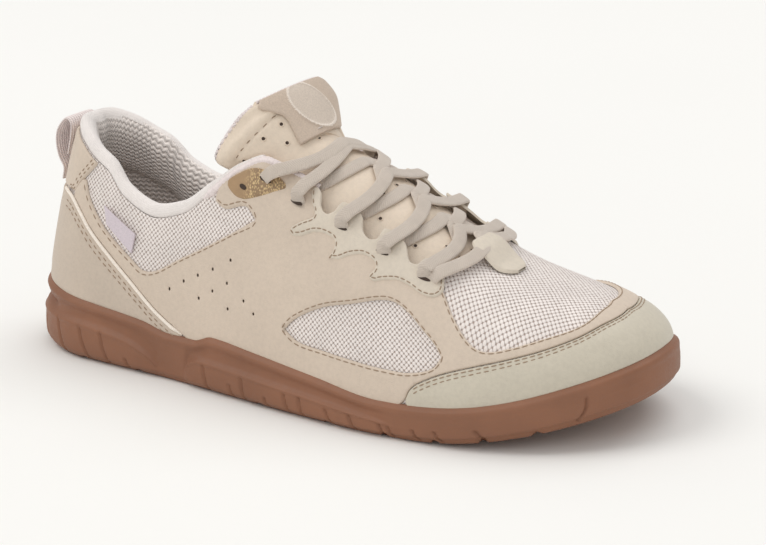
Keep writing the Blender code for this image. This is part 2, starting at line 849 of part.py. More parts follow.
def band(name, s_rows, t_low, t_high, steps, look, depth=GAP, thickness=OVERLAY):
    """Overlay between two heights, running through the heel or the toe."""
    faces = []
    caps = []
    for side in (LATERAL, MEDIAL):
        low = t_low(side, s_rows)
        high = t_high(side, s_rows)
        rows = [low + (high - low) * k / steps for k in range(steps + 1)]
        out = [upper(side, s_rows, t, -depth - thickness) for t in rows]
        inside = [upper(side, s_rows, t, -depth) for t in rows]
        for grid in (out, inside):
            for first, second in zip(grid, grid[1:]):
                faces += strip(first, second)
        faces += strip(out[0], inside[0])
        faces += strip(out[-1], inside[-1])
        open_end = 0 if s_rows[0] > 0 else -1
        first_column = [grid[open_end] for grid in out]
        second_column = [grid[open_end] for grid in inside]
        caps += strip(first_column, second_column)
    return solid(name, faces + caps, look)


def build_toe_cap():
    """Toe cap from its seam down to the sole's lip."""
    s = np.concatenate([[0.680, 0.690], stations(0.70, 1)])
    return band("toe_cap", s, lambda side, at: lip_height(side, at),
                lambda side, at: smooth(TOE_SEAM, 1, at) - 0.003, 3, TOE_LOOK)


def build_counter():
    """Heel counter below the heel tab, with its diagonal front seam."""
    s = np.concatenate([stations(0, 0.29), [0.304]])
    return band("heel_counter", s, lambda side, at: lip_height(side, at),
                lambda side, at: smooth(COUNTER_SEAM, 1, at) - 0.003, 3, QUARTER_LOOK)


def build_heel_tab():
    """Leather tab at the back, from the counter up to the collar."""
    s = stations(0, 0.10)
    return band("heel_tab", s, lambda side, at: smooth(COUNTER_SEAM, 1, at) + 0.004,
                lambda side, at: edge(at) - 0.006, 3, QUARTER_LOOK)


def resample(points, spacing):
    """Loop of plan points with its long sides divided."""
    points = np.array(points, float)
    out = []
    for first, second in zip(points, np.roll(points, -1, axis=0)):
        count = max(1, int(np.ceil(np.linalg.norm(second - first) / spacing)))
        out += [first + (second - first) * k / count for k in range(count)]
    return np.array(out)


def shrink(loop, by):
    """Loop moved inward by a small distance."""
    area = np.sum(loop[:, 0] * np.roll(loop[:, 1], -1) - np.roll(loop[:, 0], -1) * loop[:, 1])
    after = np.roll(loop, -1, axis=0) - loop
    after /= np.linalg.norm(after, axis=1)[:, None] + 1e-12
    before = np.roll(after, 1, axis=0)
    inward = np.stack([-(after + before)[:, 1], (after + before)[:, 0]], 1) * np.sign(area)
    length = np.linalg.norm(inward, axis=1)[:, None]
    return loop + inward / np.maximum(length, 0.7) * by


def inside_loop(points, loop):
    """Which points lie in a loop."""
    hit = np.zeros(len(points), bool)
    for (x1, y1), (x2, y2) in zip(loop, np.roll(loop, -1, axis=0)):
        crosses = (y1 > points[:, 1]) != (y2 > points[:, 1])
        run = (x2 - x1) * (points[:, 1] - y1) / (y2 - y1 + 1e-15) + x1
        hit ^= crosses & (points[:, 0] < run)
    return hit


def distance_to(points, loop):
    """Distance from points to a loop."""
    best = np.full(len(points), 1e9)
    for first, second in zip(loop, np.roll(loop, -1, axis=0)):
        run = second - first
        share = np.clip(((points - first) @ run) / (run @ run + 1e-15), 0, 1)
        best = np.minimum(best, np.linalg.norm(points - first - share[:, None] * run, axis=1))
    return best


def panel(name, side, loop, look, holes=(), spacing=PANEL_STEP, depth=PANEL_GAP, thickness=OVERLAY):
    """Overlay with a free outline on one side of the upper."""
    scale = np.array([SIDE_GIRTH, RIB_GIRTH])
    rings = [shrink(resample(np.array(loop) * scale, spacing), PANEL_MARGIN)]
    rings += [shrink(resample(np.array(hole) * scale, spacing), -HOLE_MARGIN) for hole in holes]
    low = rings[0].min(axis=0)
    high = rings[0].max(axis=0)
    grid = []
    for row, b in enumerate(np.arange(low[1], high[1], spacing * 0.87)):
        for a in np.arange(low[0] + (row % 2) * spacing / 2, high[0], spacing):
            grid.append((a, b))
    grid = np.array(grid).reshape(-1, 2)
    keep = inside_loop(grid, rings[0])
    for ring in rings:
        keep &= distance_to(grid, ring) > 0.45 * spacing
    for ring in rings[1:]:
        keep &= ~inside_loop(grid, ring)
    points = [Vector(place) for ring in rings for place in ring]
    edges = []
    start = 0
    for ring in rings:
        edges += [(start + k, start + (k + 1) % len(ring)) for k in range(len(ring))]
        start += len(ring)
    points += [Vector(place) for place in grid[keep]]
    flat, _, triangles, *_ = delaunay_2d_cdt(points, edges, [], 0, 1e-9)
    flat = np.array([tuple(place) for place in flat])
    triangles = np.array([tuple(face) for face in triangles])
    centre = flat[triangles].mean(axis=1)
    keep = inside_loop(centre, rings[0])
    for ring in rings[1:]:
        keep &= ~inside_loop(centre, ring)
    triangles = triangles[keep]
    place = flat / scale
    out = upper(side, place[:, 0], place[:, 1], -depth - thickness)
    inside = upper(side, place[:, 0], place[:, 1], -depth)
    faces = [out[face] for face in triangles] + [inside[face] for face in triangles]
    used = {}
    for face in triangles:
        for k in range(3):
            pair = tuple(sorted((int(face[k]), int(face[(k + 1) % 3]))))
            used[pair] = used.get(pair, 0) + 1
    for (i, j), count in used.items():
        if count == 1:
            faces.append((out[i], out[j], inside[j], inside[i]))
    return solid(name, faces, look)


def quarter_loop(side):
    """Outline of the quarter, from the counter seam round by the sole and the toe."""
    low = np.linspace(0.338, 0.664, 20)
    loop = list(zip(low, lip_height(side, low, LIP_CLEARANCE)))
    seam = np.concatenate([[0.673, 0.680, 0.690], stations(0.70, 0.99), [0.995]])
    loop += list(zip(seam, smooth(TOE_SEAM, 1, seam) + 0.005))
    loop += list(VAMP_EDGE) + list(SCALLOP)
    top = np.linspace(0.512, 0.362, 9)
    loop += list(zip(top, edge(top) - 0.006))
    loop += list(MESH_FIELD)
    loop += [(0.118, 0.462), (0.112, 0.400)]
    seam = np.append(stations(0.119, 0.30), 0.325)
    loop += list(zip(seam, smooth(COUNTER_SEAM, 1, seam) + 0.012))
    loop = np.array(loop)
    loop[:, 1] = np.maximum(loop[:, 1], lip_height(side, loop[:, 0], LIP_CLEARANCE))
    return loop


def eyestay_loop():
    """Outline of the eyestay between the scalloped seam and the throat."""
    loop = list(SCALLOP[::-1])
    loop.append((0.735, 0.555))
    top = np.linspace(0.735, 0.520, 12)
    loop += list(zip(top, edge(top) - 0.008))
    return loop


def sweep(path, up, width, thickness):
    """Flat strap along a path of points."""
    path = np.array(path)
    along = np.gradient(path, axis=0)
    along /= np.linalg.norm(along, axis=1)[:, None]
    across = np.cross(along, up)
    across /= np.linalg.norm(across, axis=1)[:, None]
    top = np.cross(across, along)
    corners = []
    for way, lift in ((-1, 0), (1, 0), (1, 1), (-1, 1)):
        corners.append(path + across * way * width / 2 + top * lift * thickness)
    faces = []
    for k in range(4):
        faces += strip(corners[k], corners[(k + 1) % 4])
    faces.append([corner[0] for corner in corners])
    faces.append([corner[-1] for corner in corners])
    return faces


def bar_station(k, a):
    """Station of a straight lace bar, bowed toward the toe over the ridge."""
    s, t, bow = ANCHORS[k]
    return s + bow * np.sin(np.pi * np.clip((a - t) / (2 - 2 * t), 0, 1))


def lace_strap(first, second, start, end, lower):
    """Strap along or between bars; across, 1 is the ridge and 2 the medial feather line."""
    points = []
    normals = []
    for u in np.linspace(0, 1, 9):
        a = start + (end - start) * u
        s = (1 - u) * bar_station(first, a) + u * bar_station(second, a)
        side = LATERAL if a <= 1 else MEDIAL
        t = a if a <= 1 else 2 - a
        over = 2 * GAP + OVERLAY + LACE_CLEARANCE - lower
        if first == 0:
            over += (PATCH + GAP) * (1 - u)
        points.append(upper(side, s, t, -over))
        normals.append(upper_normal(side, np.array([s]), np.array([t])))
    path = np.array(points).reshape(-1, 3)
    return sweep(path, np.array(normals).reshape(-1, 3), LACE_WIDTH, LACE_THICKNESS)


def build_laces():
    """Straight lace bars, the diagonals between them and the bottom bar, as one."""
    straps = []
    for k in (1, 2, 3, 4):
        straps.append(lace_strap(k, k, ANCHORS[k][1], 2 - ANCHORS[k][1], 0.0))
    for k in (1, 2, 3):
        straps.append(lace_strap(k, k + 1, ANCHORS[k][1] + 0.10, 1.24, 0.3 * LACE_THICKNESS))
    straps.append(lace_strap(0, 1, ANCHORS[0][1], 1.2, -0.3 * LACE_THICKNESS))
    straps.append(lace_strap(5, 5, ANCHORS[5][1], 2 - ANCHORS[5][1], -0.2 * LACE_THICKNESS))
    lace = solid("lace", straps[0], LACE_LOOK)
    for k, faces in enumerate(straps[1:]):
        other = solid("lace_strap_%d" % k, faces, LACE_LOOK)
        other.display_type = "WIRE"
        other.hide_render = True
        modifier = lace.modifiers.new("join_%d" % k, "BOOLEAN")
        modifier.operation = "UNION"
        modifier.solver = "EXACT"
        modifier.object = other
    return lace


def build_pull_loop():
    """Webbing loop that stands behind the heel, both ends on the heel tab."""
    points = []
    for t, out in LOOP_LINE:
        points.append(upper(LATERAL, 0.0, t, 0.0) - np.array([out * LOOP_UNIT, 0, 0]))
    path = np.array(points).reshape(-1, 3)
    along = np.gradient(path, axis=0)
    up = np.stack([-along[:, 2], 0 * along[:, 0], along[:, 0]], 1)
    return solid("pull_loop", sweep(path, up, LOOP_WIDTH, LOOP_THICKNESS), LOOP_LOOK)


def vamp_point(x, y, lift):
    """Point over the vamp at a plan position, at a lift above the upper."""
    best = []
    for side in (LATERAL, MEDIAL):
        s, t = np.meshgrid(np.linspace(0.70, 1, 61), np.linspace(0.5, 1, 61))
        best.append(upper(side, s, t, -lift).reshape(-1, 3))
    best = np.concatenate(best)
    away = np.linalg.norm(best[:, :2] - (x, y), axis=1) + 0.05 * MM
    near = np.argsort(away)[:6]
    weight = 1 / away[near] ** 2
    return (x, y, float(np.sum(best[near, 2] * weight) / np.sum(weight)))


def build_keeper():
    """Round-ended tab on the vamp that holds the bottom bar of the lace."""
    out = []
    inside = []
    for u in np.linspace(0, 1, 9):
        x = (KEEPER_START + (KEEPER_END - KEEPER_START) * u) * SOLE_LENGTH
        half = KEEPER_WIDTH / 2 * rounded(1.03 - u, 0.45)
        lift = 2 * GAP + (OVERLAY + 3 * LACE_THICKNESS) * float(ease(u, 0.85, 0.35))
        low = []
        for b in np.linspace(-1, 1, 7):
            low.append(vamp_point(x, spine(x) - KEEPER_SHIFT + b * half, lift))
        low = np.array(low)
        inside.append(low)
        out.append(low + np.array([0, 0, KEEPER_THICKNESS]))
    faces = []
    for grid in (out, inside):
        for first, second in zip(grid, grid[1:]):
            faces += strip(first, second)
    faces += strip(out[0], inside[0])
    faces += strip(out[-1], inside[-1])
    faces += strip([row[0] for row in out], [row[0] for row in inside])
    faces += strip([row[-1] for row in out], [row[-1] for row in inside])
    return solid("lace_keeper", faces, TOE_LOOK)


def build_label():
    """Label over the top of the tongue, with a bare oval face."""
    rows = []
    for row in TONGUE_TOP:
        points, out = tongue_top_row(row, np.linspace(-row[8], row[9], 7))
        rows.append((points + out * LABEL_CLEARANCE, points + out * (LABEL_CLEARANCE + LABEL_THICKNESS)))
    faces = []
    for k in (0, 1):
        for first, second in zip(rows, rows[1:]):
            faces += strip(first[k], second[k])
    faces += strip(*rows[0])
    faces += strip(*rows[-1])
    for end in (0, -1):
        faces += strip([row[0][end] for row in rows], [row[1][end] for row in rows])
    return solid("tongue_label", faces, LABEL_LOOK)


SOLE_LOOK = ("sole_gum", (0.30, 0.155, 0.095), 0.60)
INSOLE_LOOK = ("footbed_fabric", (0.50, 0.45, 0.42), 0.90)
MESH_LOOK = ("vamp_mesh", (0.62, 0.55, 0.52), 0.90)
COLLAR_LOOK = ("collar_lining", (0.74, 0.68, 0.66), 0.90)
TONGUE_LOOK = ("tongue_leather", (0.66, 0.56, 0.44), 0.70)
TOE_LOOK = ("toe_leather", (0.64, 0.60, 0.51), 0.60)
QUARTER_LOOK = ("quarter_leather", (0.64, 0.53, 0.42), 0.70)
EYESTAY_LOOK = ("eyestay_leather", (0.66, 0.61, 0.52), 0.65)
LACE_LOOK = ("lace_fabric", (0.68, 0.61, 0.57), 0.90)
LOOP_LOOK = ("loop_webbing", (0.68, 0.59, 0.57), 0.85)
LABEL_LOOK = ("label_rubber", (0.48, 0.41, 0.36), 0.60)
PATCH_LOOK = ("patch_leather", (0.45, 0.32, 0.17), 0.60)
TAG_LOOK = ("tag_fabric", (0.66, 0.62, 0.66), 0.80)


def centre_all():
    """Put the origin under the middle of the whole shoe."""
    corners = []
    for item in bpy.data.objects:
        if not item.hide_render:
            corners += [tuple(vertex.co) for vertex in item.data.vertices]
    corners = np.array(corners)
    low = corners.min(axis=0)
    high = corners.max(axis=0)
    middle = (low + high) / 2
    middle[2] = low[2]
    for item in bpy.data.objects:
        for vertex in item.data.vertices:
            vertex.co -= Vector(middle)


for old in list(bpy.data.objects):
    bpy.data.objects.remove(old, do_unlink=True)

sole = build_outsole()
cut_grooves(sole)
build_insole()
build_upper()
build_collar()
build_tongue()
build_toe_cap()
build_counter()
build_heel_tab()
for SIDE, WORD in ((LATERAL, "lateral"), (MEDIAL, "medial")):
    panel("quarter_" + WORD, SIDE, quarter_loop(SIDE), QUARTER_LOOK, holes=[WINDOW])
    panel("eyestay_" + WORD, SIDE, eyestay_loop(), EYESTAY_LOOK, spacing=EYESTAY_STEP, depth=2 * GAP)
    panel("eyelet_patch_" + WORD, SIDE, BROWN_PATCH, PATCH_LOOK, depth=PANEL_GAP + OVERLAY + GAP,
          thickness=PATCH)
panel("side_tag", LATERAL, SIDE_TAG, TAG_LOOK, thickness=PATCH)
build_laces()
build_pull_loop()
build_keeper()
build_label()
centre_all()
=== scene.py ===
"""Looks of the low barefoot shoe, right foot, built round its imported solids.

+X points to the toe, +Y to the medial side, +Z up, in metres, in the record's frame.
A place on the upper is (station, height): the station runs 0 to 1 round one side
from the middle of the heel to the tip of the toe, the height 0 to 1 up the rib.
"""
import math

import bpy
import numpy as np
from mathutils import Matrix, Vector
from mathutils.geometry import delaunay_2d_cdt


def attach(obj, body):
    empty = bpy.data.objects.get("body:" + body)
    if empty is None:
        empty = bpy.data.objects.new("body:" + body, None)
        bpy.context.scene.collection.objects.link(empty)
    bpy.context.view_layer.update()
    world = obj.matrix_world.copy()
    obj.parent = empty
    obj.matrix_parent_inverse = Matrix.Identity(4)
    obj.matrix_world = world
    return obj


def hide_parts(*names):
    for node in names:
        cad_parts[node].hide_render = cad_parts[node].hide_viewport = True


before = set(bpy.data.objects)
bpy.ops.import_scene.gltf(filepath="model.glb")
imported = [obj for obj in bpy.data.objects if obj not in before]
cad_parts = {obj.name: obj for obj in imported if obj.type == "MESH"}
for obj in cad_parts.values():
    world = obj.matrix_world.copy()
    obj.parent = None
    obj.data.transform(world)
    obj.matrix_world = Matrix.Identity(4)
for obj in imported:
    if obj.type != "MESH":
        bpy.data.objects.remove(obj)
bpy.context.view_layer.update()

# camera: the photo's angle to the shoe, and where the shoe's middle lies in the picture
MM = 0.001
PICTURE = (766, 545)
AZIMUTH = 32.6
ELEVATION = 18.4
ROLL = 1.5
DISTANCE = 0.900
PIXELS_PER_MM = 2.40
TARGET = Vector((0.0001, -0.0014, 0.0350))
TARGET_PIXEL = (337.2, 296.3)
SENSOR = 36.0

# the shoe's driving sizes, the same as its solids have
ORIGIN = np.array([0.1459, 0.00141, 0.0])
SOLE_LENGTH = 292 * MM
BALL_WIDTH = 106 * MM
INSTEP_HEIGHT = 100 * MM
LIP_HEIGHT = 31 * MM
HEEL_LEAN = 26 * MM
HEEL_ROUND = 38 * MM
TOE_ROUND_LATERAL = 62 * MM
TOE_ROUND_MEDIAL = 50 * MM
CAP_POWER = 2.2
TOE_SWING = 8 * MM
TOE_SPRING = 18 * MM
SPRING_START = 0.70
HEEL_BEVEL = 3 * MM
BEVEL_LENGTH = 30 * MM
FLOOR_THICKNESS = 9 * MM
GAP = 0.3 * MM
WALL = 2.4 * MM
UPPER_INSET = 3.2 * MM
LIP_THICKNESS = 2.2 * MM
OVERLAY = 1.2 * MM
PATCH = 0.8 * MM
TONGUE_CLEARANCE = 1.2 * MM
LACE_WIDTH = 5.8 * MM
LACE_THICKNESS = 1.5 * MM
LOOP_WIDTH = 18 * MM
LOOP_THICKNESS = 1.2 * MM
KEEPER_WIDTH = 19 * MM
KEEPER_START = 0.722
KEEPER_END = 0.794
GROOVE_DEPTH = 2.2 * MM
GROOVE_WIDTH = 2.6 * MM
SIDE_GIRTH = 340 * MM
RIB_GIRTH = 100 * MM
HEEL_POLE = 0.13
TOE_POLE = 0.82
LEAN_START = 0.14
LATERAL = -1
MEDIAL = 1

# sizes of what only the scene has
STITCH = 2.6 * MM
STITCH_GAP = 1.0 * MM
STITCH_WIDTH = 0.55 * MM
STITCH_HEIGHT = 0.38 * MM
DOT_RADIUS = 0.55 * MM
PIPING_RADIUS = 0.80 * MM
OUTLINE_STEP = 1.5 * MM
OVERLAY_TUCK = 0.6 * MM
EDGE_TUCK = 0.004
# radius of the dark discs of painted shade in the small holes
HOLE_SHADE_RADIUS = 0.75 * MM
SLOT_HALF_LENGTH = 3.3 * MM
SMALL_SLOT_HALF_LENGTH = 2.0 * MM
SLOT_HALF_WIDTH = 0.85 * MM
WALL_CUT = 0.090
LACE_DIVE = 4.4 * MM
LACE_DIVE_RUN = 3.6 * MM
LACE_SPAN = 95 * MM
TONGUE_LENGTH = 130 * MM
TONGUE_HALF_WIDTH = 22 * MM
TONGUE_RIM_LINE = 0.885
TONGUE_HOLE_RADIUS = 0.85 * MM
TRIM_RADIUS = 0.8 * MM
TAG_THICKNESS = 0.8 * MM
LUG_LANES = (-0.33, 0.0, 0.31)
LUG_RING_RADIUS = 3.4 * MM
# raised oval of the label: its middle in shares of the label, half axes, direction of the long one
OVAL_MIDDLE = (0.483, 0.34)
OVAL_LENGTH = 12.1 * MM
OVAL_WIDTH = 6.4 * MM
OVAL_TURN = (0.740, 0.673)
OVAL_RIGHT = np.array([0.842, 0.539, 0.0])
OVAL_DOWN = np.array([0.170, -0.266, -0.948])
# how much further the tongue's top reaches on the lateral side than its solid, row by row
TONGUE_REACH = (0.42, 0.24, 0.0, 0.0, 0.0)

# station along the length, lateral and medial half widths in ball widths
SOLE_OUTLINE = (
    (0.00, 0.311, 0.311), (0.13, 0.350, 0.340), (0.28, 0.380, 0.315), (0.42, 0.430, 0.305),
    (0.55, 0.475, 0.370), (0.66, 0.506, 0.465), (0.75, 0.508, 0.495), (0.85, 0.475, 0.476),
    (0.93, 0.438, 0.457), (1.00, 0.415, 0.438),
)
# station along the length, height of the ridge in instep heights
RIDGE = (
    (0.00, 1.620), (0.10, 1.560), (0.20, 1.460), (0.30, 1.330), (0.40, 1.180), (0.50, 1.020),
    (0.58, 0.905), (0.66, 0.775), (0.73, 0.660), (0.80, 0.575), (0.87, 0.530), (0.93, 0.505),
    (1.00, 0.460),
)
# station round the side, squareness across and up: lateral, then medial; heel lean share
RIBS = (
    (0.00, 2.6, 1.7, 2.6, 1.7, 1.00), (0.10, 2.6, 1.7, 2.6, 1.7, 0.77), (0.20, 2.6, 1.7, 2.6, 1.7, 0.46),
    (0.32, 2.4, 1.6, 2.9, 1.7, 0.19), (0.45, 2.3, 1.5, 3.8, 1.8, 0.00), (0.58, 2.3, 1.5, 3.4, 1.8, 0.00),
    (0.70, 2.4, 1.7, 2.6, 1.8, 0.00), (0.85, 2.8, 2.2, 2.8, 2.2, 0.00), (1.00, 3.2, 3.0, 3.2, 3.0, 0.00),
)
# station round the side, height of the collar and throat edge
EDGE = (
    (0.000, 0.535), (0.060, 0.535), (0.110, 0.520), (0.150, 0.500), (0.180, 0.485), (0.215, 0.435),
    (0.260, 0.415), (0.310, 0.460), (0.360, 0.580), (0.400, 0.690), (0.440, 0.760), (0.500, 0.765),
    (0.572, 0.735), (0.640, 0.695), (0.696, 0.645), (0.720, 0.635), (0.745, 0.665), (0.775, 0.750),
    (0.798, 0.880), (0.810, 1.000), (1.000, 1.000),
)
# station round the side, lateral and medial heights of the sole's lip in lip heights
LIP = (
    (0.00, 1.000, 1.000), (0.07, 0.952, 0.952), (0.17, 0.855, 0.855), (0.26, 0.758, 0.790),
    (0.31, 0.661, 0.742), (0.35, 0.661, 0.774), (0.38, 0.758, 0.839), (0.45, 0.694, 0.806),
    (0.55, 0.581, 0.645), (0.64, 0.468, 0.516), (0.75, 0.468, 0.484), (0.88, 0.500, 0.500),
    (1.00, 0.516, 0.516),
)
# station round the side, top of the side pads in lip heights, how far they stand out in mm
PADS = (
    (0.00, 0.60, 1.1), (0.12, 0.60, 1.3), (0.22, 0.52, 1.3), (0.27, 0.36, 1.1), (0.30, 0.16, 0.2),
    (0.335, 0.16, 0.0), (0.345, 0.36, 1.0), (0.365, 0.46, 1.3), (0.45, 0.42, 1.3), (0.55, 0.345, 1.1),
    (0.63, 0.26, 0.8), (0.67, 0.20, 0.2), (0.80, 0.22, 0.1), (1.00, 0.26, 0.1),
)
# curved slits in the side pads: station at the top, lean toward the toe, height share of the pad
SLITS = (
    (0.040, 0.010, 0.55), (0.078, 0.012, 0.80), (0.120, 0.016, 1.00), (0.160, 0.018, 0.95),
    (0.196, 0.016, 1.00), (0.232, 0.014, 0.45), (0.372, 0.010, 0.95), (0.412, 0.012, 0.55),
    (0.436, 0.006, 0.95), (0.470, 0.010, 0.50), (0.503, 0.012, 0.90), (0.527, 0.006, 0.95),
    (0.565, 0.014, 0.80), (0.600, 0.012, 0.90), (0.640, 0.012, 0.90), (0.652, 0.010, 0.90),
    (0.684, 0.012, 1.00), (0.712, 0.012, 1.00), (0.760, 0.018, 1.00), (0.885, -0.016, 1.60),
)
# station round the side, height of the toe cap's seam
TOE_SEAM = (
    (0.672, 0.075), (0.679, 0.120), (0.700, 0.165), (0.725, 0.200), (0.760, 0.232), (0.795, 0.257),
    (0.845, 0.292), (0.890, 0.333), (0.939, 0.388), (1.000, 0.420),
)
# station round the side, height of the counter's top and its diagonal seam
COUNTER_SEAM = (
    (0.000, 0.375), (0.080, 0.378), (0.111, 0.372), (0.144, 0.341), (0.167, 0.305), (0.205, 0.254),
    (0.242, 0.203), (0.281, 0.143), (0.330, 0.086),
)
# station round the side, height of the heel tab's lower edge
TAB_SEAM = (
    (0.000, 0.385), (0.080, 0.388), (0.119, 0.392), (0.131, 0.424), (0.150, 0.466), (0.160, 0.490),
)
# the vamp's mesh field: its outline from the toe back to the eyestay
VAMP_EDGE = (
    (1.000, 0.530), (0.980, 0.512), (0.954, 0.490), (0.900, 0.400), (0.848, 0.352), (0.810, 0.318),
    (0.778, 0.300), (0.764, 0.315), (0.752, 0.360), (0.741, 0.430), (0.736, 0.470), (0.728, 0.545),
)
# the same on the medial side, where the strip round the toe is wider
MEDIAL_VAMP_EDGE = (
    (1.000, 0.530), (0.975, 0.520), (0.942, 0.500), (0.900, 0.468), (0.860, 0.438), (0.820, 0.400),
    (0.790, 0.375), (0.768, 0.365), (0.752, 0.385), (0.741, 0.430), (0.736, 0.470), (0.728, 0.545),
)
# scalloped seam of the eyestay, from the instep forward, then round its front end
SCALLOP = (
    (0.519, 0.735), (0.522, 0.690), (0.529, 0.651), (0.509, 0.608), (0.496, 0.576), (0.496, 0.553),
    (0.509, 0.557), (0.533, 0.592), (0.550, 0.599), (0.565, 0.588), (0.565, 0.556), (0.559, 0.524),
    (0.571, 0.524), (0.593, 0.559), (0.613, 0.576), (0.627, 0.565), (0.629, 0.542), (0.620, 0.503),
    (0.626, 0.490), (0.643, 0.508), (0.664, 0.525), (0.682, 0.517), (0.696, 0.500), (0.715, 0.503),
    (0.727, 0.535), (0.731, 0.590),
)
# the quarter's edge, hidden under the eyestay, from its front end back
UNDER_EYESTAY = (
    (0.722, 0.570), (0.700, 0.545), (0.660, 0.560), (0.625, 0.600), (0.590, 0.600), (0.550, 0.625),
    (0.530, 0.640), (0.533, 0.680), (0.528, 0.735),
)
# inner edge of the eyestay, from its front end back: a lobe round every lace hole
LOBES = (
    (0.728, 0.640), (0.718, 0.672), (0.704, 0.664), (0.690, 0.620), (0.680, 0.622), (0.673, 0.690),
    (0.662, 0.712), (0.640, 0.712), (0.628, 0.655), (0.616, 0.645), (0.607, 0.665), (0.603, 0.720),
    (0.592, 0.738), (0.570, 0.738), (0.558, 0.690), (0.546, 0.672), (0.537, 0.690), (0.534, 0.735),
    (0.527, 0.752),
)
# the collar's mesh field, from its front tip back to the heel tab
MESH_FIELD = (
    (0.366, 0.553), (0.383, 0.543), (0.419, 0.582), (0.436, 0.552), (0.400, 0.475), (0.359, 0.398),
    (0.318, 0.328), (0.277, 0.261), (0.258, 0.251), (0.240, 0.270), (0.203, 0.312), (0.184, 0.338),
    (0.165, 0.374), (0.152, 0.404), (0.143, 0.432),
)
# the window in each quarter
WINDOW = (
    (0.496, 0.223), (0.509, 0.265), (0.550, 0.338), (0.593, 0.383), (0.653, 0.441), (0.675, 0.418),
    (0.694, 0.366), (0.712, 0.310), (0.720, 0.262), (0.709, 0.216), (0.679, 0.182), (0.640, 0.175),
    (0.603, 0.178), (0.560, 0.184), (0.515, 0.194),
)
# the grained patch at the top lace hole
BROWN_PATCH = (
    (0.384, 0.622), (0.398, 0.598), (0.414, 0.599), (0.434, 0.624), (0.460, 0.667), (0.478, 0.702),
    (0.468, 0.720), (0.440, 0.722), (0.422, 0.710), (0.404, 0.678),
)
# dark slots the lace goes down into, from the instep forward
LACE_SLOTS = (
    (0.445, 0.690), (0.500, 0.664), (0.574, 0.640), (0.639, 0.608), (0.702, 0.566), (0.412, 0.634),
)
# small breathing holes in the quarter: station, height
QUARTER_HOLES = (
    (0.306, 0.225), (0.329, 0.265), (0.352, 0.300), (0.376, 0.338), (0.404, 0.390), (0.356, 0.229),
    (0.378, 0.268), (0.401, 0.311), (0.405, 0.228), (0.430, 0.273), (0.447, 0.241),
)
# corners of the side tag
SIDE_TAG = ((0.192, 0.342), (0.188, 0.390), (0.244, 0.347), (0.238, 0.288))
# lace holes, from the instep forward: station, height, bow of the bar; then the bottom bar
ANCHORS = (
    (0.440, 0.701, 0.085), (0.500, 0.700, 0.045), (0.573, 0.670, 0.056), (0.640, 0.634, 0.062),
    (0.701, 0.600, 0.071), (0.708, 0.570, 0.105),
)
# pull loop: height up the heel rib, distance behind it in mm; the back strap, then the front one
LOOP_LINE = (
    (0.380, 2.3), (0.415, 2.9), (0.445, 6.6), (0.480, 9.2), (0.510, 10.1), (0.535, 9.0), (0.551, 6.6),
    (0.540, 4.6), (0.510, 3.5), (0.480, 3.2), (0.455, 3.15),
)
# lengthwise grooves of the tread: station along the length, place across in ball widths
LONG_GROOVE = (
    (0.46, 0.10), (0.60, 0.13), (0.75, 0.17), (0.90, 0.17), (0.97, 0.12),
)
TOE_GROOVE = (
    (0.72, -0.24), (0.82, -0.22), (0.93, -0.15),
)
# cross grooves: stations along the length at the lateral, middle and medial ends
CROSS_GROOVES = (
    (0.10, 0.15, 0.10), (0.21, 0.26, 0.21), (0.47, 0.46, 0.44), (0.59, 0.57, 0.55), (0.68, 0.67, 0.66),
    (0.755, 0.745, 0.74), (0.82, 0.815, 0.81), (0.885, 0.88, 0.875),
)
# top of the tongue: x in sole lengths, y in ball widths, z in instep heights, tilt, radius in
# ball widths, turn, half turns on both sides, half turns the label covers on both sides
TONGUE_TOP = (
    (0.4863, -0.0020, 1.045, 0.95, 0.2170, -0.140, 1.30, 0.70, 0.56, 0.64),
    (0.4726, 0.0075, 1.100, 0.98, 0.2620, -0.175, 1.48, 0.94, 0.47, 0.80),
    (0.4589, 0.0094, 1.154, 1.00, 0.3113, -0.210, 1.45, 0.84, 0.41, 0.74),
    (0.4438, 0.0094, 1.206, 1.03, 0.3113, -0.210, 0.92, 0.77, 0.60, 0.68),
    (0.4356, 0.0094, 1.228, 1.05, 0.3019, -0.210, 0.60, 0.58, 0.55, 0.53),
)
# section of the collar's padding: depth inward and height above the edge, in mm
COLLAR_SECTION = (
    (0.1, 0.3), (-0.8, 3.0), (0.0, 5.6), (2.4, 7.0), (5.6, 6.4), (8.2, 3.0), (8.6, -4.0), (6.2, -17.0),
    (2.8, -22.0), (2.8, 0.3),
)
# soft folds: side, station, height, turn in degrees, half length and half width in mm, depth in mm
FOLDS = (
    (LATERAL, 0.30, 0.33, 60, 22, 5, 0.35), (LATERAL, 0.36, 0.46, 50, 18, 4, 0.30),
    (LATERAL, 0.46, 0.42, 20, 26, 7, 0.40), (LATERAL, 0.52, 0.14, 5, 34, 6, 0.30),
    (LATERAL, 0.72, 0.22, 75, 14, 5, 0.30), (LATERAL, 0.12, 0.24, 80, 16, 6, 0.30),
    (MEDIAL, 0.38, 0.42, 40, 24, 6, 0.40), (MEDIAL, 0.50, 0.25, 10, 30, 7, 0.40),
    (MEDIAL, 0.72, 0.25, 75, 16, 5, 0.30),
)


# the surface of the upper

def unit(vectors):
    """Vectors at length 1."""
    return vectors / (np.linalg.norm(vectors, axis=-1, keepdims=True) + 1e-12)


def travel(line):
    """Length run from the start of a line to each of its points."""
    return np.concatenate([[0], np.cumsum(np.linalg.norm(np.diff(line, axis=0), axis=1))])


def read_line(at, share, values):
    """Points of a line, read at places along it."""
    return np.stack([np.interp(at, share, column) for column in values.T], -1)


def hermite(t, start, end, leave, arrive):
    """Cubic from start to end, with its slope at both."""
    curve = (2 * t**3 - 3 * t**2 + 1) * start + (t**3 - 2 * t**2 + t) * leave
    return curve + (3 * t**2 - 2 * t**3) * end + (t**3 - t**2) * arrive


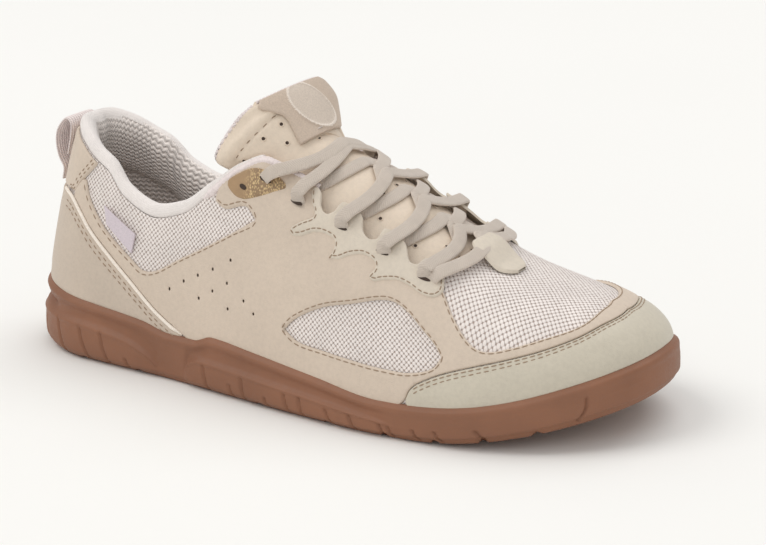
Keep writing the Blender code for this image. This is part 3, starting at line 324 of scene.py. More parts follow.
def smooth(table, column, at):
    """Monotone cubic through one column of a table."""
    xs, ys = np.array([(row[0], row[column]) for row in table], float).T
    at = np.clip(np.asarray(at, float), xs[0], xs[-1])
    span = np.diff(xs)
    rise = np.diff(ys) / span
    before = 2 * span[1:] + span[:-1]
    after = span[1:] + 2 * span[:-1]
    same = rise[:-1] * rise[1:] > 0
    first = np.where(same, rise[:-1], 1)
    second = np.where(same, rise[1:], 1)
    middle = np.where(same, (before + after) / (before / first + after / second), 0)
    slope = np.concatenate([rise[:1], middle, rise[-1:]])
    i = np.clip(np.searchsorted(xs, at, side="right") - 1, 0, len(span) - 1)
    return hermite((at - xs[i]) / span[i], ys[i], ys[i + 1], span[i] * slope[i], span[i] * slope[i + 1])


def ease(value, low, high):
    """Smooth step from 0 at low to 1 at high."""
    t = np.clip((np.asarray(value, float) - low) / (high - low), 0, 1)
    return t * t * (3 - 2 * t)


def bell(distance, width):
    """1 on a line, falling smoothly to nothing a few widths away."""
    return np.exp(-(np.asarray(distance, float) / width) ** 2)


def rounded(distance, radius):
    """Width share near an end that is rounded with a radius."""
    inside = np.clip(1 - distance / radius, 0, 1)
    return (1 - inside**CAP_POWER) ** (1 / CAP_POWER)


def spine(x):
    """Side step of the middle line, toward the medial side at the toe."""
    return TOE_SWING * np.clip((x / SOLE_LENGTH - 0.5) / 0.5, 0, 1) ** 1.5


def spring(x):
    """Rise of the sole's bottom above the floor at the toe."""
    share = (x / SOLE_LENGTH - SPRING_START) / (1 - SPRING_START)
    return TOE_SPRING * np.clip(share, 0, 1) ** 1.8


OUTLINES = {}


def half_outline(side, inset):
    """Evenly followed outline of one side, with its outward normals."""
    key = (side, round(inset / MM, 3))
    if key in OUTLINES:
        return OUTLINES[key]
    x = SOLE_LENGTH / 2 * (1 - np.cos(np.linspace(0, np.pi, 600)))
    toe_round = TOE_ROUND_LATERAL if side == LATERAL else TOE_ROUND_MEDIAL
    width = smooth(SOLE_OUTLINE, 1 if side == LATERAL else 2, x / SOLE_LENGTH) * BALL_WIDTH
    reach = rounded(x, HEEL_ROUND) * rounded(SOLE_LENGTH - x, toe_round)
    y = spine(x) + side * width * reach
    along = np.stack([np.gradient(x), np.gradient(y)], 1)
    along[0] = (0, side)
    along[-1] = (0, -side)
    along = unit(along)
    normal = side * np.stack([-along[:, 1], along[:, 0]], 1)
    place = np.stack([x, y], 1) - normal * inset
    place[0, 1] = spine(0.0)
    place[-1, 1] = spine(SOLE_LENGTH)
    length = travel(place)
    OUTLINES[key] = (length / length[-1], place, normal)
    return OUTLINES[key]


def outline(side, s, inset=0.0):
    """Plan position at a station, an inset inside the sole's outline."""
    share, place, _ = half_outline(side, inset)
    return read_line(s, share, place)


def outline_normal(side, s):
    """Outward plan direction at a station."""
    share, _, normal = half_outline(side, UPPER_INSET)
    return unit(read_line(s, share, normal))


def rib(side, s, phi, depth=0.0):
    """Point of the upper's surface at an angle up the rib of a station."""
    s, phi, depth = np.broadcast_arrays(np.asarray(s, float), phi, depth)
    base = outline(side, s, UPPER_INSET)
    normal = outline_normal(side, s)
    base = base - normal * depth[..., None]
    middle = (outline(LATERAL, s, UPPER_INSET)[..., 0] + outline(MEDIAL, s, UPPER_INSET)[..., 0]) / 2
    pole = HEEL_POLE * SOLE_LENGTH + (TOE_POLE - HEEL_POLE) * middle
    column = 1 if side == LATERAL else 3
    across = np.maximum(np.cos(phi), 0) ** (2 / smooth(RIBS, column, s))
    up = np.sin(phi) ** (2 / smooth(RIBS, column + 1, s))
    x = pole + (base[..., 0] - pole) * across
    y = spine(pole) + (base[..., 1] - spine(pole)) * across
    floor = FLOOR_THICKNESS + spring(base[..., 0])
    roof = smooth(RIDGE, 1, x / SOLE_LENGTH) * INSTEP_HEIGHT - depth
    z = floor + (roof - floor) * up
    past = np.maximum(up - LEAN_START, 0)
    lean = smooth(RIBS, 5, s) * HEEL_LEAN * past**2 / (past + 0.03)
    return np.stack([x - normal[..., 0] * lean, y - normal[..., 1] * lean, z], -1)


RIB_ANGLES = {}


def rib_angles(side):
    """Angles at even steps of length up every rib."""
    if side not in RIB_ANGLES:
        s = np.linspace(0, 1, 201)
        phi = np.linspace(0, np.pi / 2, 121)
        points = rib(side, s[:, None], phi[None, :])
        step = np.linalg.norm(np.diff(points, axis=1), axis=2)
        length = np.concatenate([np.zeros((len(s), 1)), np.cumsum(step, 1)], 1)
        even = np.linspace(0, 1, 161)
        rows = [np.interp(even, row / row[-1], phi) for row in length]
        RIB_ANGLES[side] = (np.array(rows), length[:, -1])
    return RIB_ANGLES[side]


def folds(side, s, t):
    """Depth of the soft folds at a place."""
    deep = 0.0 * s
    for fold_side, s0, t0, turn, length, width, depth in FOLDS:
        if fold_side == side:
            a = (s - s0) * SIDE_GIRTH
            b = (t - t0) * RIB_GIRTH
            turn = math.radians(turn)
            along = a * math.cos(turn) + b * math.sin(turn)
            across = b * math.cos(turn) - a * math.sin(turn)
            deep = deep + depth * MM * bell(along, length * MM) * bell(across, width * MM)
    return deep


def upper(side, s, t, depth=0.0):
    """Point of the upper's surface at a station, a height and a depth."""
    s, t = np.broadcast_arrays(np.asarray(s, float), np.asarray(t, float))
    rows, _ = rib_angles(side)
    a = np.clip(s, 0, 1) * (len(rows) - 1)
    i = np.clip(a.astype(int), 0, len(rows) - 2)
    b = np.clip(t, 0, 1) * (rows.shape[1] - 1)
    j = np.clip(b.astype(int), 0, rows.shape[1] - 2)
    a = a - i
    b = b - j
    low = rows[i, j] * (1 - b) + rows[i, j + 1] * b
    high = rows[i + 1, j] * (1 - b) + rows[i + 1, j + 1] * b
    return rib(side, s, low * (1 - a) + high * a, depth + folds(side, s, t))


def upper_normal(side, s, t):
    """Outward direction of the upper's surface."""
    step = 0.004
    s = np.clip(s, step, 1 - step)
    t = np.clip(t, step, 1 - step)
    along = upper(side, s + step, t) - upper(side, s - step, t)
    rise = upper(side, s, t + step) - upper(side, s, t - step)
    normal = np.cross(rise, along) * side
    rough = np.broadcast_to(np.array([0.0, side * 0.5, 1.0]), normal.shape)
    normal *= np.sign(np.sum(normal * rough, axis=-1))[..., None]
    return unit(normal)


def rib_length(side, s):
    """Length of the whole rib at a station."""
    length = rib_angles(side)[1]
    return np.interp(s, np.linspace(0, 1, len(length)), length)


def edge(s):
    """Height of the collar and throat edge."""
    return smooth(EDGE, 1, s)


def lip_z(side, s):
    """Level of the top of the sole's lip."""
    return smooth(LIP, 1 if side == LATERAL else 2, s) * LIP_HEIGHT + spring(outline(side, s)[..., 0])


def height_at(side, s, z):
    """Height share at which the upper's surface reaches a level."""
    s = np.atleast_1d(np.asarray(s, float))
    t = np.linspace(0, 0.6, 121)
    levels = upper(side, s[:, None], t[None, :])[..., 2]
    z = np.broadcast_to(z, s.shape)
    return np.array([np.interp(level, row, t) for level, row in zip(z, levels)])


def around(a, at_toe):
    """Side and station of a signed station, counted from the heel or from the toe."""
    s = 1 - np.abs(a) if at_toe else np.abs(a)
    return np.where(a < 0, LATERAL, MEDIAL), s


def on_upper(wrap, flat, lift):
    """Points on the upper from flat places in metres, on one side or round an end."""
    s = flat[:, 0] / SIDE_GIRTH
    t = flat[:, 1] / RIB_GIRTH
    if wrap in (LATERAL, MEDIAL):
        return upper(wrap, s, t, -lift)
    side, s = around(s, wrap == "toe")
    lateral = upper(LATERAL, s, t, -lift)
    medial = upper(MEDIAL, s, t, -lift)
    return np.where((side == LATERAL)[:, None], lateral, medial)


# materials, all from nodes

def tint(red, green, blue):
    """Linear colour from screen values."""
    share = np.array([red, green, blue]) / 255
    return tuple(np.where(share < 0.04045, share / 12.92, ((share + 0.055) / 1.055) ** 2.4)) + (1.0,)


class Look:
    """A Principled material whose colour, roughness and relief come from its nodes."""

    def __init__(self, name, colour, roughness, sheen=0.0, coat=0.0):
        self.made = bpy.data.materials.new(name)
        self.made.use_nodes = True
        self.nodes = self.made.node_tree.nodes
        self.links = self.made.node_tree.links
        self.shader = self.nodes["Principled BSDF"]
        values = {"Base Color": colour, "Roughness": roughness, "Sheen Weight": sheen,
                  "Sheen Roughness": 0.5, "Coat Weight": coat, "Coat Roughness": 0.4}
        for socket, value in values.items():
            self.shader.inputs[socket].default_value = value
        self.normal = None

    def node(self, kind, vector=None, inputs=(), **settings):
        """New node with its settings, inputs and coordinates."""
        made = self.nodes.new(kind)
        for name, value in settings.items():
            setattr(made, name, value)
        for socket, value in dict(inputs).items():
            made.inputs[socket].default_value = value
        if vector:
            self.links.new(vector, made.inputs["Vector"])
        return made

    def put(self, value, socket):
        """Link a socket, or set a number or vector."""
        if isinstance(value, bpy.types.NodeSocket):
            self.links.new(value, socket)
        else:
            socket.default_value = value

    def math(self, operation, first, second=0.0):
        made = self.node("ShaderNodeMath", operation=operation)
        self.put(first, made.inputs[0])
        self.put(second, made.inputs[1])
        return made.outputs[0]

    def wave(self, value, length):
        """Sine wave of a length in metres."""
        return self.math("SINE", self.math("MULTIPLY", value, 2 * math.pi / length))

    def place(self, kind, scale=(1, 1, 1), turn=0.0):
        """Coordinates: object metres, or flat metres of the sheet, scaled and turned."""
        where = self.node("ShaderNodeTexCoord").outputs[kind]
        inputs = {"Scale": scale, "Rotation": (0, 0, math.radians(turn))}
        return self.node("ShaderNodeMapping", where, inputs).outputs["Vector"]

    def sheet(self):
        """Flat metres along and across the sheet."""
        made = self.node("ShaderNodeSeparateXYZ")
        self.links.new(self.place("UV"), made.inputs[0])
        return made.outputs[0], made.outputs[1]

    def noise(self, size, detail=3.0, kind="Object", stretch=(1, 1, 1)):
        """Noise with blobs of about a size in metres."""
        inputs = {"Scale": 1.0 / size, "Detail": detail, "Roughness": 0.5}
        return self.node("ShaderNodeTexNoise", self.place(kind, stretch), inputs).outputs["Fac"]

    def cells(self, size, kind="Object", feature="F1", random=1.0, scale=(1, 1, 1), turn=0.0):
        """Cell pattern: distance to the middle of a cell, or to its edge."""
        inputs = {"Scale": 1.0 / size, "Randomness": random}
        where = self.place(kind, scale, turn)
        return self.node("ShaderNodeTexVoronoi", where, inputs, feature=feature).outputs["Distance"]

    def ramp(self, value, *stops):
        """Blend between stops of (place, colour or number)."""
        made = self.node("ShaderNodeValToRGB")
        while len(made.color_ramp.elements) < len(stops):
            made.color_ramp.elements.new(0.5)
        for element, (place, colour) in zip(made.color_ramp.elements, stops):
            element.position = place
            element.color = colour if isinstance(colour, tuple) else (colour, colour, colour, 1)
        self.links.new(value, made.inputs[0])
        return made.outputs["Color"]

    def clouds(self, colour, size, detail, dark, light, low=0.3, high=0.7):
        """Colour that drifts between a darker and a lighter share of itself."""
        return self.ramp(self.noise(size, detail), (low, shade(colour, dark)), (high, shade(colour, light)))

    def blend(self, factor, first, second):
        made = self.node("ShaderNodeMix", data_type="RGBA", blend_type="MIX")
        self.put(factor, made.inputs[0])
        self.put(first, made.inputs[6])
        self.put(second, made.inputs[7])
        return made.outputs[2]

    def paint(self, colour):
        self.links.new(colour, self.shader.inputs["Base Color"])

    def rough(self, value):
        self.links.new(value, self.shader.inputs["Roughness"])

    def relief(self, height, depth):
        """Bump of a height socket, its full range being a depth in metres."""
        made = self.node("ShaderNodeBump", inputs={"Strength": 1.0, "Distance": depth})
        self.links.new(height, made.inputs["Height"])
        if self.normal:
            self.links.new(self.normal, made.inputs["Normal"])
        self.normal = made.outputs["Normal"]
        self.links.new(self.normal, self.shader.inputs["Normal"])


def shade(colour, share):
    """Colour made darker or lighter."""
    return tuple(min(1.0, part * share) for part in colour[:3]) + (1.0,)


def leather(name, colour, roughness=0.62, coat=0.05):
    """Smooth matt leather: fine grain, cloudy colour, slightly worn high spots."""
    look = Look(name, colour, roughness, coat=coat, sheen=0.08)
    fine = look.noise(1.6 * MM, 5)
    base = look.clouds(colour, 28 * MM, 4, 0.93, 1.04)
    spots = look.ramp(fine, (0.35, shade(colour, 0.88)), (0.60, shade(colour, 1.02)))
    look.paint(look.blend(0.40, base, spots))
    look.rough(look.ramp(fine, (0.3, roughness - 0.08), (0.7, roughness + 0.08)))
    look.relief(look.cells(0.9 * MM, feature="DISTANCE_TO_EDGE"), 0.10 * MM)
    look.relief(look.noise(0.5 * MM, 2), 0.06 * MM)
    look.relief(look.noise(9 * MM, 3), 0.5 * MM)
    return look.made


def knit_mesh(name, thread, hole):
    """Open knit: rows of round threads with small holes between them; the holes and the yarn's grooves are
    painted dark as painted shade.
    """
    look = Look(name, thread, 0.85, sheen=0.25)
    dots = look.cells(1.55 * MM, "UV", random=0.10, turn=45.0)
    twist = look.noise(0.45 * MM, 3, "UV", stretch=(1, 2.5, 1))
    yarn = look.clouds(thread, 14 * MM, 3, 0.93, 1.05)
    # painted shade: the yarn darker in the low grooves of its twist
    yarn = look.blend(look.ramp(twist, (0.35, 0.30), (0.65, 0.0)), yarn, shade(thread, 0.72))
    # painted shade: the knit's holes, low in the relief, take the dark hole colour
    look.paint(look.blend(look.ramp(dots, (0.48, 0.0), (0.60, 1.0)), yarn, hole))
    look.relief(look.ramp(dots, (0.05, 1.0), (0.42, 0.80), (0.60, 0.05)), 0.55 * MM)
    look.relief(twist, 0.12 * MM)
    return look.made


def wavy_knit(name, colour):
    """Lining of wavy ribs with a fine knit on them, the troughs between the ribs painted darker as painted
    shade.
    """
    look = Look(name, colour, 0.92, sheen=0.35)
    u, v = look.sheet()
    row = look.math("ADD", look.math("MULTIPLY", v, 2 * math.pi / (2.3 * MM)),
                    look.math("MULTIPLY", look.wave(u, 3.4 * MM), 1.1))
    ribs = look.math("ADD", look.math("MULTIPLY", look.math("SINE", row), 0.5), 0.5)
    # painted shade: the colour darkens into the troughs of the ribs
    look.paint(look.ramp(ribs, (0.15, shade(colour, 0.74)), (0.65, shade(colour, 1.03))))
    look.relief(ribs, 0.6 * MM)
    look.relief(look.noise(0.5 * MM, 3, "UV"), 0.15 * MM)
    return look.made


def soft_knit(name, colour, size=0.7 * MM):
    """Brushed jersey: very fine stitches, a little fuzz and soft sheen; painted shade darkens the gaps
    between the stitches.
    """
    look = Look(name, colour, 0.95, sheen=0.5)
    stitch = look.cells(size, "UV", random=0.25, scale=(1, 0.7, 1))
    base = look.clouds(colour, 10 * MM, 3, 0.94, 1.03)
    # painted shade: darker in the low gaps between the stitches
    look.paint(look.blend(look.ramp(stitch, (0.35, 0.0), (0.6, 0.35)), base, shade(colour, 0.75)))
    look.relief(look.ramp(stitch, (0.1, 1.0), (0.55, 0.0)), 0.12 * MM)
    look.relief(look.noise(0.35 * MM, 4), 0.15 * MM)
    look.relief(look.noise(5 * MM, 2), 0.5 * MM)
    return look.made


def rubber(name, colour):
    """Moulded gum rubber: fine leather-like texture, satin, dust in the low places."""
    look = Look(name, colour, 0.55, coat=0.04)
    fine = look.noise(1.1 * MM, 4)
    base = look.clouds(colour, 22 * MM, 4, 0.88, 1.10, high=0.72)
    look.paint(look.blend(look.ramp(fine, (0.4, 0.18), (0.7, 0.0)), base, shade(colour, 0.70)))
    look.rough(look.ramp(fine, (0.3, 0.48), (0.7, 0.66)))
    look.relief(look.cells(1.1 * MM, feature="DISTANCE_TO_EDGE"), 0.05 * MM)
    look.relief(look.noise(0.4 * MM, 3), 0.05 * MM)
    return look.made


def woven(name, colour):
    """Flat braid: small chevrons of thread, painted darker between the threads as painted shade."""
    look = Look(name, colour, 0.88, sheen=0.3)
    u, v = look.sheet()
    diagonal = look.math("ADD", u, look.math("MULTIPLY", look.math("ABSOLUTE", v), 1.4))
    thread = look.math("MULTIPLY", look.wave(diagonal, 0.9 * MM), look.wave(v, 0.95 * MM))
    height = look.math("ADD", look.math("MULTIPLY", thread, 0.5), 0.5)
    base = look.clouds(colour, 6 * MM, 3, 0.95, 1.03)
    # painted shade: darker where the threads' height is low
    look.paint(look.blend(look.ramp(height, (0.0, 0.40), (0.45, 0.0)), base, shade(colour, 0.66)))
    look.relief(height, 0.22 * MM)
    look.relief(look.noise(0.3 * MM, 3), 0.06 * MM)
    return look.made


def webbing(name, colour):
    """Webbing with raised ribs along it, painted darker between the ribs as painted shade."""
    look = Look(name, colour, 0.88, sheen=0.3)
    u, v = look.sheet()
    ribs = look.math("ADD", look.math("MULTIPLY", look.wave(v, 1.5 * MM), 0.4), 0.5)
    height = look.math("ADD", ribs, look.math("MULTIPLY", look.wave(u, 0.8 * MM), 0.12))
    # painted shade: darker in the low places between the ribs
    look.paint(look.ramp(height, (0.12, shade(colour, 0.74)), (0.60, shade(colour, 1.02))))
    look.relief(height, 0.35 * MM)
    return look.made


def gold_grain(name, colour, speck):
    """Leather whose front part is covered in raised golden specks."""
    look = Look(name, colour, 0.5, coat=0.15)
    part = look.ramp(look.math("DIVIDE", look.sheet()[0], SIDE_GIRTH), (0.412, 0.0), (0.428, 1.0))
    specks = look.cells(0.85 * MM, "UV")
    front = look.ramp(specks, (0.25, speck), (0.60, shade(colour, 0.75)))
    look.paint(look.blend(part, look.clouds(colour, 5 * MM, 3, 0.9, 1.08), front))
    height = look.math("MULTIPLY", look.ramp(specks, (0.1, 1.0), (0.6, 0.0)), part)
    look.relief(height, 0.30 * MM)
    look.relief(look.noise(0.5 * MM, 2), 0.06 * MM)
    return look.made


def plain(name, colour, roughness, fine=0.6 * MM, depth=0.06 * MM):
    """Small trim: fine noise in colour and relief."""
    look = Look(name, colour, roughness)
    grain = look.noise(fine, 3)
    look.paint(look.ramp(grain, (0.3, shade(colour, 0.88)), (0.7, shade(colour, 1.06))))
    look.relief(grain, depth)
    return look.made


GUM = rubber("gum_rubber", tint(141, 95, 69))
BEIGE = leather("beige_leather", tint(212, 196, 179))
COUNTER_BEIGE = leather("counter_leather", tint(202, 187, 171))
PALE = leather("pale_leather", tint(216, 205, 189))
TOE = leather("toe_leather", tint(203, 195, 178), roughness=0.55, coat=0.10)
TONGUE = leather("tongue_leather", tint(229, 213, 194))
# the second colour is painted shade in the knit's open holes
MESH = knit_mesh("vamp_knit", tint(249, 240, 235), tint(176, 154, 143))
LINING = wavy_knit("wavy_lining", tint(250, 241, 235))
COLLAR = soft_knit("collar_jersey", tint(248, 241, 237))
BINDING = soft_knit("edge_binding", tint(240, 228, 226), size=1.1 * MM)
LACE = woven("lace_braid", tint(216, 203, 190))
WEBBING = webbing("loop_webbing", tint(246, 233, 230))
LABEL = plain("label_rubber", tint(202, 184, 167), 0.55)
BADGE = plain("badge_rubber", tint(212, 198, 184), 0.5)
# painted highlight: the raised ring of the label's oval painted lighter
BADGE_RING_HIGHLIGHT = plain("badge_ring_highlight", tint(234, 222, 210), 0.5)
TAG = plain("tag_weave", tint(216, 205, 212), 0.85, fine=0.5 * MM, depth=0.12 * MM)
GOLD = gold_grain("patch_leather", tint(168, 138, 104), tint(226, 196, 146))
THREAD = plain("stitch_thread", tint(160, 138, 117), 0.8, fine=0.3 * MM)
PIPING = plain("cream_piping", tint(246, 236, 224), 0.55)
SHADOW = plain("hole_shadow", tint(70, 56, 48), 0.9)
# painted shade: dark brown for the floors of the small holes
HOLE_SHADE = plain("small_hole_shade", tint(124, 100, 82), 0.9)
FOOTBED = soft_knit("footbed_fabric", tint(188, 176, 168))


# mesh making

def make(name, points, faces, looks, flat, slot, which=None, cad=()):
    """Mesh object in the row frame that rides on the shoe; flat gives its sheet metres."""
    mesh = bpy.data.meshes.new(name)
    mesh.from_pydata((points - ORIGIN).tolist(), [], [list(map(int, face)) for face in faces])
    for material in looks:
        mesh.materials.append(material)
    if which is not None:
        mesh.polygons.foreach_set("material_index", np.asarray(which, np.int32))
    layer = mesh.uv_layers.new(name="sheet")
    corner = np.zeros(len(mesh.loops), np.int32)
    mesh.loops.foreach_get("vertex_index", corner)
    layer.data.foreach_set("uv", np.asarray(flat, np.float32)[corner].ravel())
    mesh.polygons.foreach_set("use_smooth", np.ones(len(mesh.polygons), bool))
    made = bpy.data.objects.new(name, mesh)
    bpy.context.scene.collection.objects.link(made)
    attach(made, "root")
    if cad:
        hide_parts(*cad)
    return made


def grid_faces(rows, columns, closed=False, flip=False):
    """Quads between neighbouring rows of a grid of points."""
    r = np.arange(rows - 1)[:, None] * columns
    c = np.arange(columns if closed else columns - 1)[None, :]
    n = (c + 1) % columns
    quads = np.stack([r + c, r + n, r + columns + n, r + columns + c], -1).reshape(-1, 4)
    return quads[:, ::-1] if flip else quads


def rims(outer, inner):
    """Matching edges of two grids, in order for closing them."""
    return ((outer[:, 0], inner[:, 0]), (inner[:, -1], outer[:, -1]),
            (inner[0], outer[0]), (outer[-1], inner[-1]))


class Parts:
    """Collects several grids into one mesh."""

    def __init__(self):
        self.points = []
        self.faces = []
        self.flat = []
        self.which = []
        self.count = 0

    def add(self, points, faces, flat=None, kind=0):
        """Add points with their faces, numbered from 0, and their flat metres."""
        points = np.asarray(points, float).reshape(-1, 3)
        self.faces += (np.asarray(faces) + self.count).tolist()
        self.points.append(points)
        self.flat.append(np.zeros((len(points), 2)) if flat is None else flat.reshape(-1, 2))
        self.which += [kind] * len(faces)
        self.count += len(points)

    def grid(self, points, flat=None, closed=False, flip=False, kind=0):
        rows, columns = points.shape[:2]
        self.add(points, grid_faces(rows, columns, closed, flip), flat, kind)

    def shell(self, outer, inner, flat=None):
        """Add a closed sheet between two grids."""
        self.grid(outer, flat)
        self.grid(inner, flat, flip=True)
        for pair in rims(outer, inner):
            self.grid(np.stack(pair))

    def made(self, name, looks, slot, cad=()):
        points = np.concatenate(self.points)
        return make(name, points, self.faces, looks, np.concatenate(self.flat), slot, self.which, cad)


def refine(line, count, closed=False):
    """Smooth curve through points, at even steps of its length."""
    line = np.asarray(line, float)
    if closed:
        line = np.concatenate([line[-2:], line, line[:3]])
    step = np.linalg.norm(np.diff(line, axis=0), axis=1) ** 0.5 + 1e-9
    knot = np.concatenate([[0], np.cumsum(step)])
    span = np.diff(knot)[:, None]
    rise = np.diff(line, axis=0) / span
    middle = (rise[:-1] * span[1:] + rise[1:] * span[:-1]) / (span[1:] + span[:-1])
    slope = np.concatenate([rise[:1], middle, rise[-1:]])
    low, high = (knot[2], knot[-3]) if closed else (knot[0], knot[-1])
    at = np.linspace(low, high, 12 * len(line))
    i = np.clip(np.searchsorted(knot, at, side="right") - 1, 0, len(span) - 1)
    t = ((at - knot[i]) / span[i, 0])[:, None]
    return even(hermite(t, line[i], line[i + 1], span[i] * slope[i], span[i] * slope[i + 1]), count, closed)


def even(curve, count, closed=False):
    """Points at even steps of length along a curve."""
    length = travel(curve)
    at = np.linspace(0, length[-1], count + 1 if closed else count)
    return read_line(at[:-1] if closed else at, length, curve)


def rounded_loop(loop, corner=50.0):
    """Closed outline through points, round except where it turns sharply."""
    before = loop - np.roll(loop, 1, axis=0)
    after = np.roll(loop, -1, axis=0) - loop
    side = before[:, 0] * after[:, 1] - before[:, 1] * after[:, 0]
    turn = np.abs(np.degrees(np.arctan2(side, np.sum(before * after, axis=1))))
    sharp = np.flatnonzero(turn > corner)
    if len(sharp) == 0:
        size = np.sum(np.linalg.norm(after, axis=1))
        return refine(loop, max(8, int(size / OUTLINE_STEP)), closed=True)
    out = []
    for first, second in zip(sharp, np.roll(sharp, -1)):
        count = (second - first) % len(loop)
        piece = loop[(first + np.arange((count or len(loop)) + 1)) % len(loop)]
        number = max(2, int(travel(piece)[-1] / OUTLINE_STEP) + 1)
        curve = even(piece, number) if len(piece) == 2 else refine(piece, number)
        out.append(curve[:-1])
    return np.concatenate(out)


def inside_loop(points, loop):
    """Which points lie in a loop."""
    hit = np.zeros(len(points), bool)
    for (x1, y1), (x2, y2) in zip(loop, np.roll(loop, -1, axis=0)):
        crosses = (y1 > points[:, 1]) != (y2 > points[:, 1])
        run = (x2 - x1) * (points[:, 1] - y1) / (y2 - y1 + 1e-15) + x1
        hit ^= crosses & (points[:, 0] < run)
    return hit


def distance_to(points, *loops):
    """Distance from points to the nearest of some loops."""
    best = np.full(len(points), 1e9)
    for loop in loops:
        for first, second in zip(loop, np.roll(loop, -1, axis=0)):
            run = second - first
            share = np.clip(((points - first) @ run) / (run @ run + 1e-15), 0, 1)
            best = np.minimum(best, np.linalg.norm(points - first - share[:, None] * run, axis=1))
    return best


def offset(loop, by):
    """Loop moved inward, and which of its points don't cross the loop itself."""
    area = np.sum(loop[:, 0] * np.roll(loop[:, 1], -1) - np.roll(loop[:, 0], -1) * loop[:, 1])
    after = unit(np.roll(loop, -1, axis=0) - np.roll(loop, 1, axis=0))
    moved = loop + np.stack([-after[:, 1], after[:, 0]], 1) * by * np.sign(area)
    return moved, distance_to(moved, loop) > abs(by) * 0.93


def circle(middle, radius, count=12):
    angle = np.arange(count) * 2 * np.pi / count
    return np.stack([middle[0] + radius * np.cos(angle), middle[1] + radius * np.sin(angle)], -1)


def skin(name, wrap, loop, look, lift, thickness, seams, holes=(), dots=(), spacing=1.7 * MM, rim=0.9 * MM,
         dome=0.0, **more):
    """Overlay on the upper: flat outline in metres, rounded rim, holes, and troughs along its seams."""
    rings = [loop, *holes]
    fixed = rings + [circle(dot, DOT_RADIUS) for dot in dots]
    low = loop.min(axis=0)
    high = loop.max(axis=0)
    a, b = np.meshgrid(np.arange(low[0], high[0], spacing), np.arange(low[1], high[1], spacing * 0.87))
    a = a + (np.arange(len(a)) % 2)[:, None] * spacing / 2
    inner = np.stack([a.ravel(), b.ravel()], -1)
    loose = [inner]
    for k, ring in enumerate(rings):
        for step in (0.25, 0.6, 1.0):
            moved, keep = offset(ring, (-step if k else step) * rim)
            loose.append(moved[keep])
    loose = np.concatenate(loose + [circle(dot, DOT_RADIUS * 1.7) for dot in dots])
    away = distance_to(loose, *rings)
    keep = inside_loop(loose, loop) & (away > 0.15 * rim)
    for hole in holes:
        keep &= ~inside_loop(loose, hole)
    keep[:len(inner)] &= away[:len(inner)] > 1.3 * rim
    for dot in dots:
        keep &= np.linalg.norm(loose - dot, axis=1) > DOT_RADIUS * 1.3
    edges = []
    for ring in fixed:
        start = len(edges)
        edges += [(start + k, start + (k + 1) % len(ring)) for k in range(len(ring))]
    points = [Vector(place) for place in np.concatenate(fixed + [loose[keep]]) / MM]
    flat, _, faces, *_ = delaunay_2d_cdt(points, edges, [], 0, 1e-7)
    flat = np.array([tuple(place) for place in flat]) * MM
    faces = np.array([tuple(face) for face in faces])
    centre = flat[faces].mean(axis=1)
    keep = inside_loop(centre, loop)
    for ring in fixed[1:]:
        keep &= ~inside_loop(centre, ring)
    away = distance_to(flat, *rings)
    share = np.clip(away / rim, 0, 1)
    height = thickness * np.sqrt(1 - (1 - share) ** 2) + dome * ease(away, 0, 9 * MM)
    for seam in seams:
        height -= 0.16 * MM * bell(away - seam, 0.55 * MM)
    for dot in dots:
        near = np.linalg.norm(flat - dot, axis=1) - DOT_RADIUS
        height -= 0.35 * MM * bell(np.maximum(near, 0), 0.35 * MM)
    points = on_upper(wrap, flat, lift + height - 0.1 * MM * (share < 0.01))
    make(name, points, faces[keep], [look], flat, **more)


def bead(size, width, height):
    """Small rounded stitch: points and faces, along x, flat below."""
    angle = np.array([0, 45, 90, 135, 180]) * np.pi / 180
    points = []
    for x, share in ((-0.5, 0.45), (-0.28, 1.0), (0.28, 1.0), (0.5, 0.45)):
        for turn in angle:
            points.append((x * size, np.cos(turn) * width / 2 * share,
                           np.sin(turn) * height * share - 0.2 * height))
    return np.array(points), grid_faces(4, 5)


def stitches(wrap, line, lift, size=STITCH, gap=STITCH_GAP):
    """Row of stitches along a flat line on the upper."""
    count = int(travel(line)[-1] / (size + gap))
    if count < 1:
        return
    line = even(line, 2 * count + 1)
    middle = line[1::2]
    tangent = unit(np.gradient(line, axis=0)[1::2]) * 0.3 * size
    sideways = np.stack([-tangent[:, 1], tangent[:, 0]], -1)
    here = on_upper(wrap, middle, lift)
    ahead = unit(on_upper(wrap, middle + tangent, lift) - on_upper(wrap, middle - tangent, lift))
    across = on_upper(wrap, middle + sideways, lift) - on_upper(wrap, middle - sideways, lift)
    out = unit(np.cross(ahead, across))
    proud = on_upper(wrap, middle, lift + 1 * MM) - here
    out *= np.sign(np.sum(out * proud, axis=1))[:, None]
    shape, faces = bead(size, STITCH_WIDTH, STITCH_HEIGHT)
    for place, *ways in zip(here, ahead, np.cross(out, ahead), out):
        STITCHING.add(place + shape @ np.array(ways), faces)


def seam_runs(loop, by):
    """Flat lines a distance inside a loop, broken at its tight corners."""
    moved, keep = offset(loop, by)
    if keep.all():
        return [np.concatenate([moved, moved[:1]])]
    start = int(np.flatnonzero(~keep)[0])
    breaks = np.flatnonzero(~np.roll(keep, -start))
    pieces = np.split(np.roll(moved, -start, axis=0), breaks)
    return [piece[1:] for piece in pieces if len(piece) > 4]


def cross_ways(path, up):
    """Directions across a path and out of it, at every point."""
    along = unit(np.gradient(path, axis=0))
    across = unit(np.cross(along, up))
    return across, np.cross(across, along)


def tube(parts, path, radius, count, kind=0):
    """Round tube along a path of points."""
    across, top = cross_ways(path, (0, 0, 1))
    angle = np.arange(count) * 2 * np.pi / count
    ring = across[:, None] * np.cos(angle)[:, None] + top[:, None] * np.sin(angle)[:, None]
    points = path[:, None] + ring * radius
    flat = np.stack(np.broadcast_arrays(travel(path)[:, None], (angle * radius)[None, :]), -1)
    parts.grid(points, flat, closed=True, kind=kind)
    for end, way in ((0, 1), (-1, -1)):
        parts.add(points[end], [list(range(count))[::way]], kind=kind)


